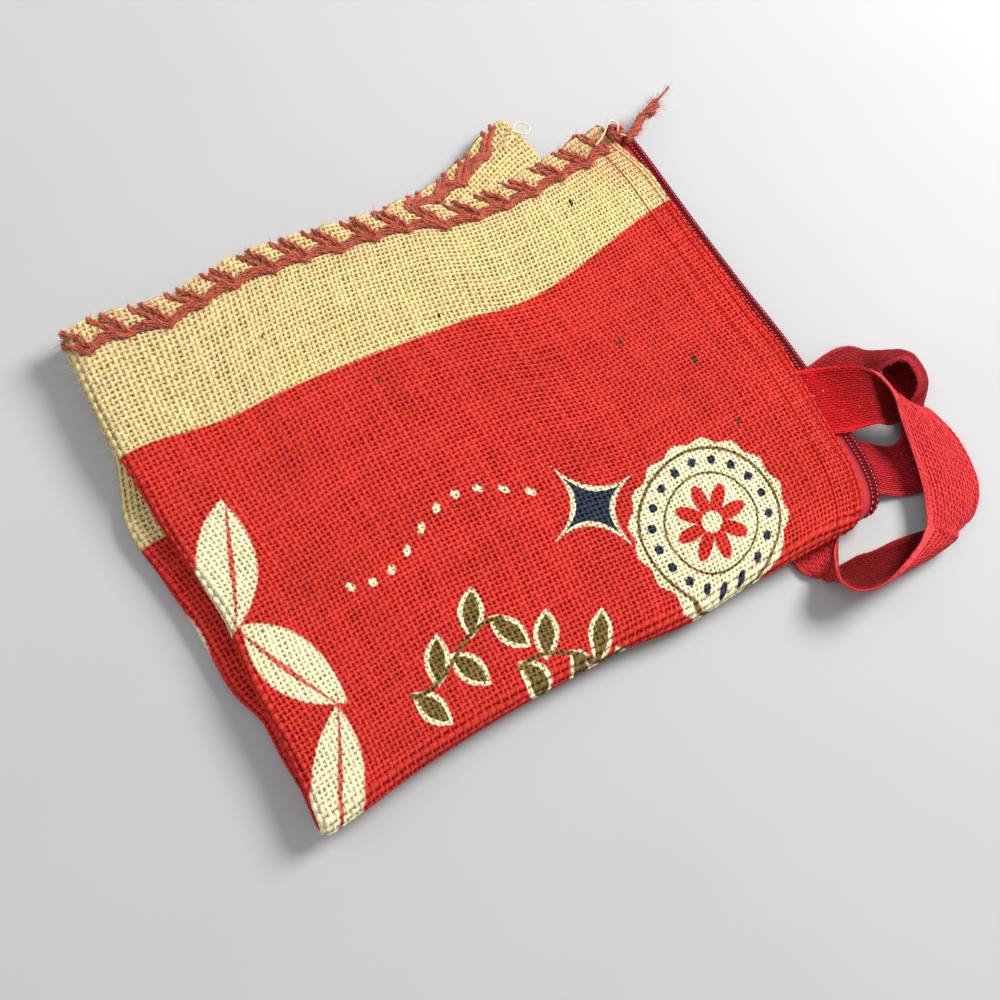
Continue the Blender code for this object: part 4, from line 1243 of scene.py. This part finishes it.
# The back handle's lower face, with painted shade along the first stretch of its length.
webbing_ribs = webbing_finish(
    "webbing_ribs", 0.95, 2.4, 0.75, (0.58, 0.017, 0.026), (0.44, 0.010, 0.018), (0.74, 0.050, 0.055),
    painted_light_and_shade=((-40.0, 85.0, -0.36),),
)
# The front handle's lower face: a copy of the webbing painted much darker as shade, with painted light near
# its start and painted shade further along.
webbing_painted_shade = webbing_finish(
    "webbing_painted_shade", 0.95, 2.9, 0.8, (0.37, 0.003, 0.004), (0.28, 0.002, 0.003), (0.55, 0.012, 0.012),
    painted_light_and_shade=((-40.0, 35.0, 0.75), (46.0, 66.0, -0.25), (118.0, 180.0, -0.45)),
)
# The front handle's upper face: a copy of the webbing painted lighter as light.
webbing_twill = webbing_finish(
    "webbing_twill", 1.35, 2.7, 0.85, (0.86, 0.042, 0.046), (0.72, 0.030, 0.035), (0.97, 0.12, 0.12),
    (0.26, 0.006, 0.010),
)
# The back handle's upper face: a copy of the webbing painted darker as shade.
webbing_back = webbing_finish(
    "webbing_back", 1.2, 2.7, 0.75, (0.39, 0.008, 0.011), (0.31, 0.005, 0.008), (0.55, 0.028, 0.030),
)
webbing_lint = yarn_finish("webbing_lint", (0.60, 0.03, 0.035), (0.40, 0.012, 0.014), (0.8, 0.16, 0.15), 0.2)
strap_front = handle("strap_front", hidden_end(FRONT_END) + FRONT_HANDLE, webbing_twill, webbing_painted_shade, 51)
strap_back = handle(
    "strap_back", hidden_end(BACK_END) + BACK_HANDLE + hidden_end(BACK_RETURN_END),
    webbing_back, webbing_ribs, 52,
)


# ---- Yarn tail and loose fibres ----


def yarn_tail():
    """The overcast yarn's frayed end, just past the top of the zip."""
    shape = Shape(61)
    rng = shape.rng
    anchors = []
    core = (
        (113.2, 88.4, 13.8), (119.6, 91.5, 12.6), (126.1, 95.7, 12), (132, 98.5, 11), (137.4, 101.4, 9.8),
    )
    thin = ((135.0, 100.4, 10.2), (139.0, 102.3, 9.6), (142.3, 103.8, 9.0), (147.6, 106.2, 8.5))
    knot = (
        (105.5, 92, 15.4), (108.5, 94.6, 16), (111.6, 93.2, 15.6), (109.8, 90.4, 15.4), (106.8, 92.6, 16.2),
    )
    for _ in range(6):
        spread = rng.uniform(-1.0, 1.0, (5, 3)) * np.array([[0.6], [1.0], [1.5], [1.9], [1.3]])
        path = resample(drawn(core + spread), 0.001)
        radius = 0.0007 * np.linspace(1.0, 0.6, len(path))
        for one in twist(path, 2, 0.00055, 0.009, rng.uniform(0, 6)):
            tubes(shape, one[None], radius[None], 6, shade=rng.uniform(0.1, 0.9))
        anchors.append(path)
    tubes(shape, resample(drawn(thin), 0.001)[None], 0.00042, 6)
    anchors.append(drawn(thin))
    for _ in range(3):
        anchors.append(strand_bundle(shape, drawn(knot + rng.uniform(-1.0, 1.0, (5, 3))), 0.0011))
    fuzz(shape, np.concatenate(anchors), 900, 0.0045, 0.00006)
    return shape.build("yarn_tail", thread_red)


tail = yarn_tail()


def stray_fibres():
    """Pale jute hairs that stand out of the unprinted cloth, most of them along its edges."""
    shape = Shape(71)
    rng = shape.rng
    t = rng.uniform(136.0, T_END, 260)
    fold = skin(1, rng.uniform(-5.0, 6.0, 260), t, 0.5)
    s = rng.uniform(0.0, UPPER_LENGTH, 300)
    seam = skin(1, s, T_END + rng.uniform(-3.0, 3.0, 300), 0.6)
    corner = skin(-1, rng.uniform(-LOWER_LENGTH, -110.0, 200), T_END - rng.uniform(-2.0, 30.0, 200), 0.5)
    top = skin(1, rng.uniform(0.0, UPPER_LENGTH, 600), rng.uniform(138.0, T_END, 600), 0.5)
    fuzz(shape, np.concatenate([fold, seam, corner]), 1100, 0.006, 0.00004)
    fuzz(shape, top, 300, 0.0026, 0.00004, bias=(0.0, 0.0, 0.0))
    return shape.build("jute_fibres", thread_cream)


fibres = stray_fibres()

# ---- What stands for what ----

pieces = {
    "burlap": [cloth, *yarns, *stitches, hem, thread, tail, fibres],
    "zip_tape": [tape_front, tape_back],
    "zip_coil": [chain],
    "webbing": [strap_front, strap_back],
}
for slot, group in pieces.items():
    for piece in group:
        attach(piece, "root")
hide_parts("burlap_body")
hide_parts("zip_tape_front")
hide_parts("zip_tape_back")
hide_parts("zip_coil")
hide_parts("handle_front")
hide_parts("handle_back")

# ---- Stage, light and camera ----


def stage():
    mesh = bpy.data.meshes.new("floor")
    size, drop = 3.0, -0.0003
    corners = [(-size, -size, drop), (size, -size, drop), (size, size, drop), (-size, size, drop)]
    mesh.from_pydata(corners, [], [(0, 1, 2, 3)])
    finish = Finish("floor", 0.85)
    paper = finish.grain(9.0, 3.0)
    mesh.materials.append(finish.done(finish.mix(paper, (0.40, 0.40, 0.405), (0.43, 0.43, 0.435))))
    floor = link("floor", mesh)


def area_light(name, location, size, power, colour):
    """A round light that looks at the middle of the object."""
    data = bpy.data.lights.new(name, "AREA")
    data.shape = "DISK"
    data.size = size
    data.energy = power
    data.color = colour
    made = link(name, data)
    made.location = location
    made.rotation_mode = "QUATERNION"
    made.rotation_quaternion = (-Vector(location)).to_track_quat("-Z", "Y")


def camera():
    data = bpy.data.cameras.new("camera")
    data.sensor_width = 36.0
    data.lens = 41.904
    data.clip_start = 0.01
    right, up, back = (0.85072, -0.47662, 0.22162), (0.41211, 0.86652, 0.28163), (-0.32626, -0.14825, 0.93358)
    made = link("camera", data)
    turn = Matrix((right, up, back)).transposed().to_4x4()
    made.matrix_world = Matrix.Translation((-0.170359, -0.0862129, 0.399)) @ turn
    bpy.context.scene.camera = made


def studio():
    world = bpy.data.worlds.new("studio")
    world.use_nodes = True
    sky = world.node_tree.nodes["Background"].inputs
    sky["Color"].default_value = (0.95, 0.97, 1.0, 1.0)
    sky["Strength"].default_value = 0.5
    bpy.context.scene.world = world
    bpy.context.scene.view_settings.view_transform = "Standard"
    bpy.context.scene.view_settings.look = "None"


stage()
area_light("key", (0.92, 0.18, 0.85), 0.6, 27.0, (1.0, 0.985, 0.96))
area_light("fill", (-0.7, 0.5, 1.1), 1.2, 6.0, (0.97, 0.98, 1.0))
studio()
camera()
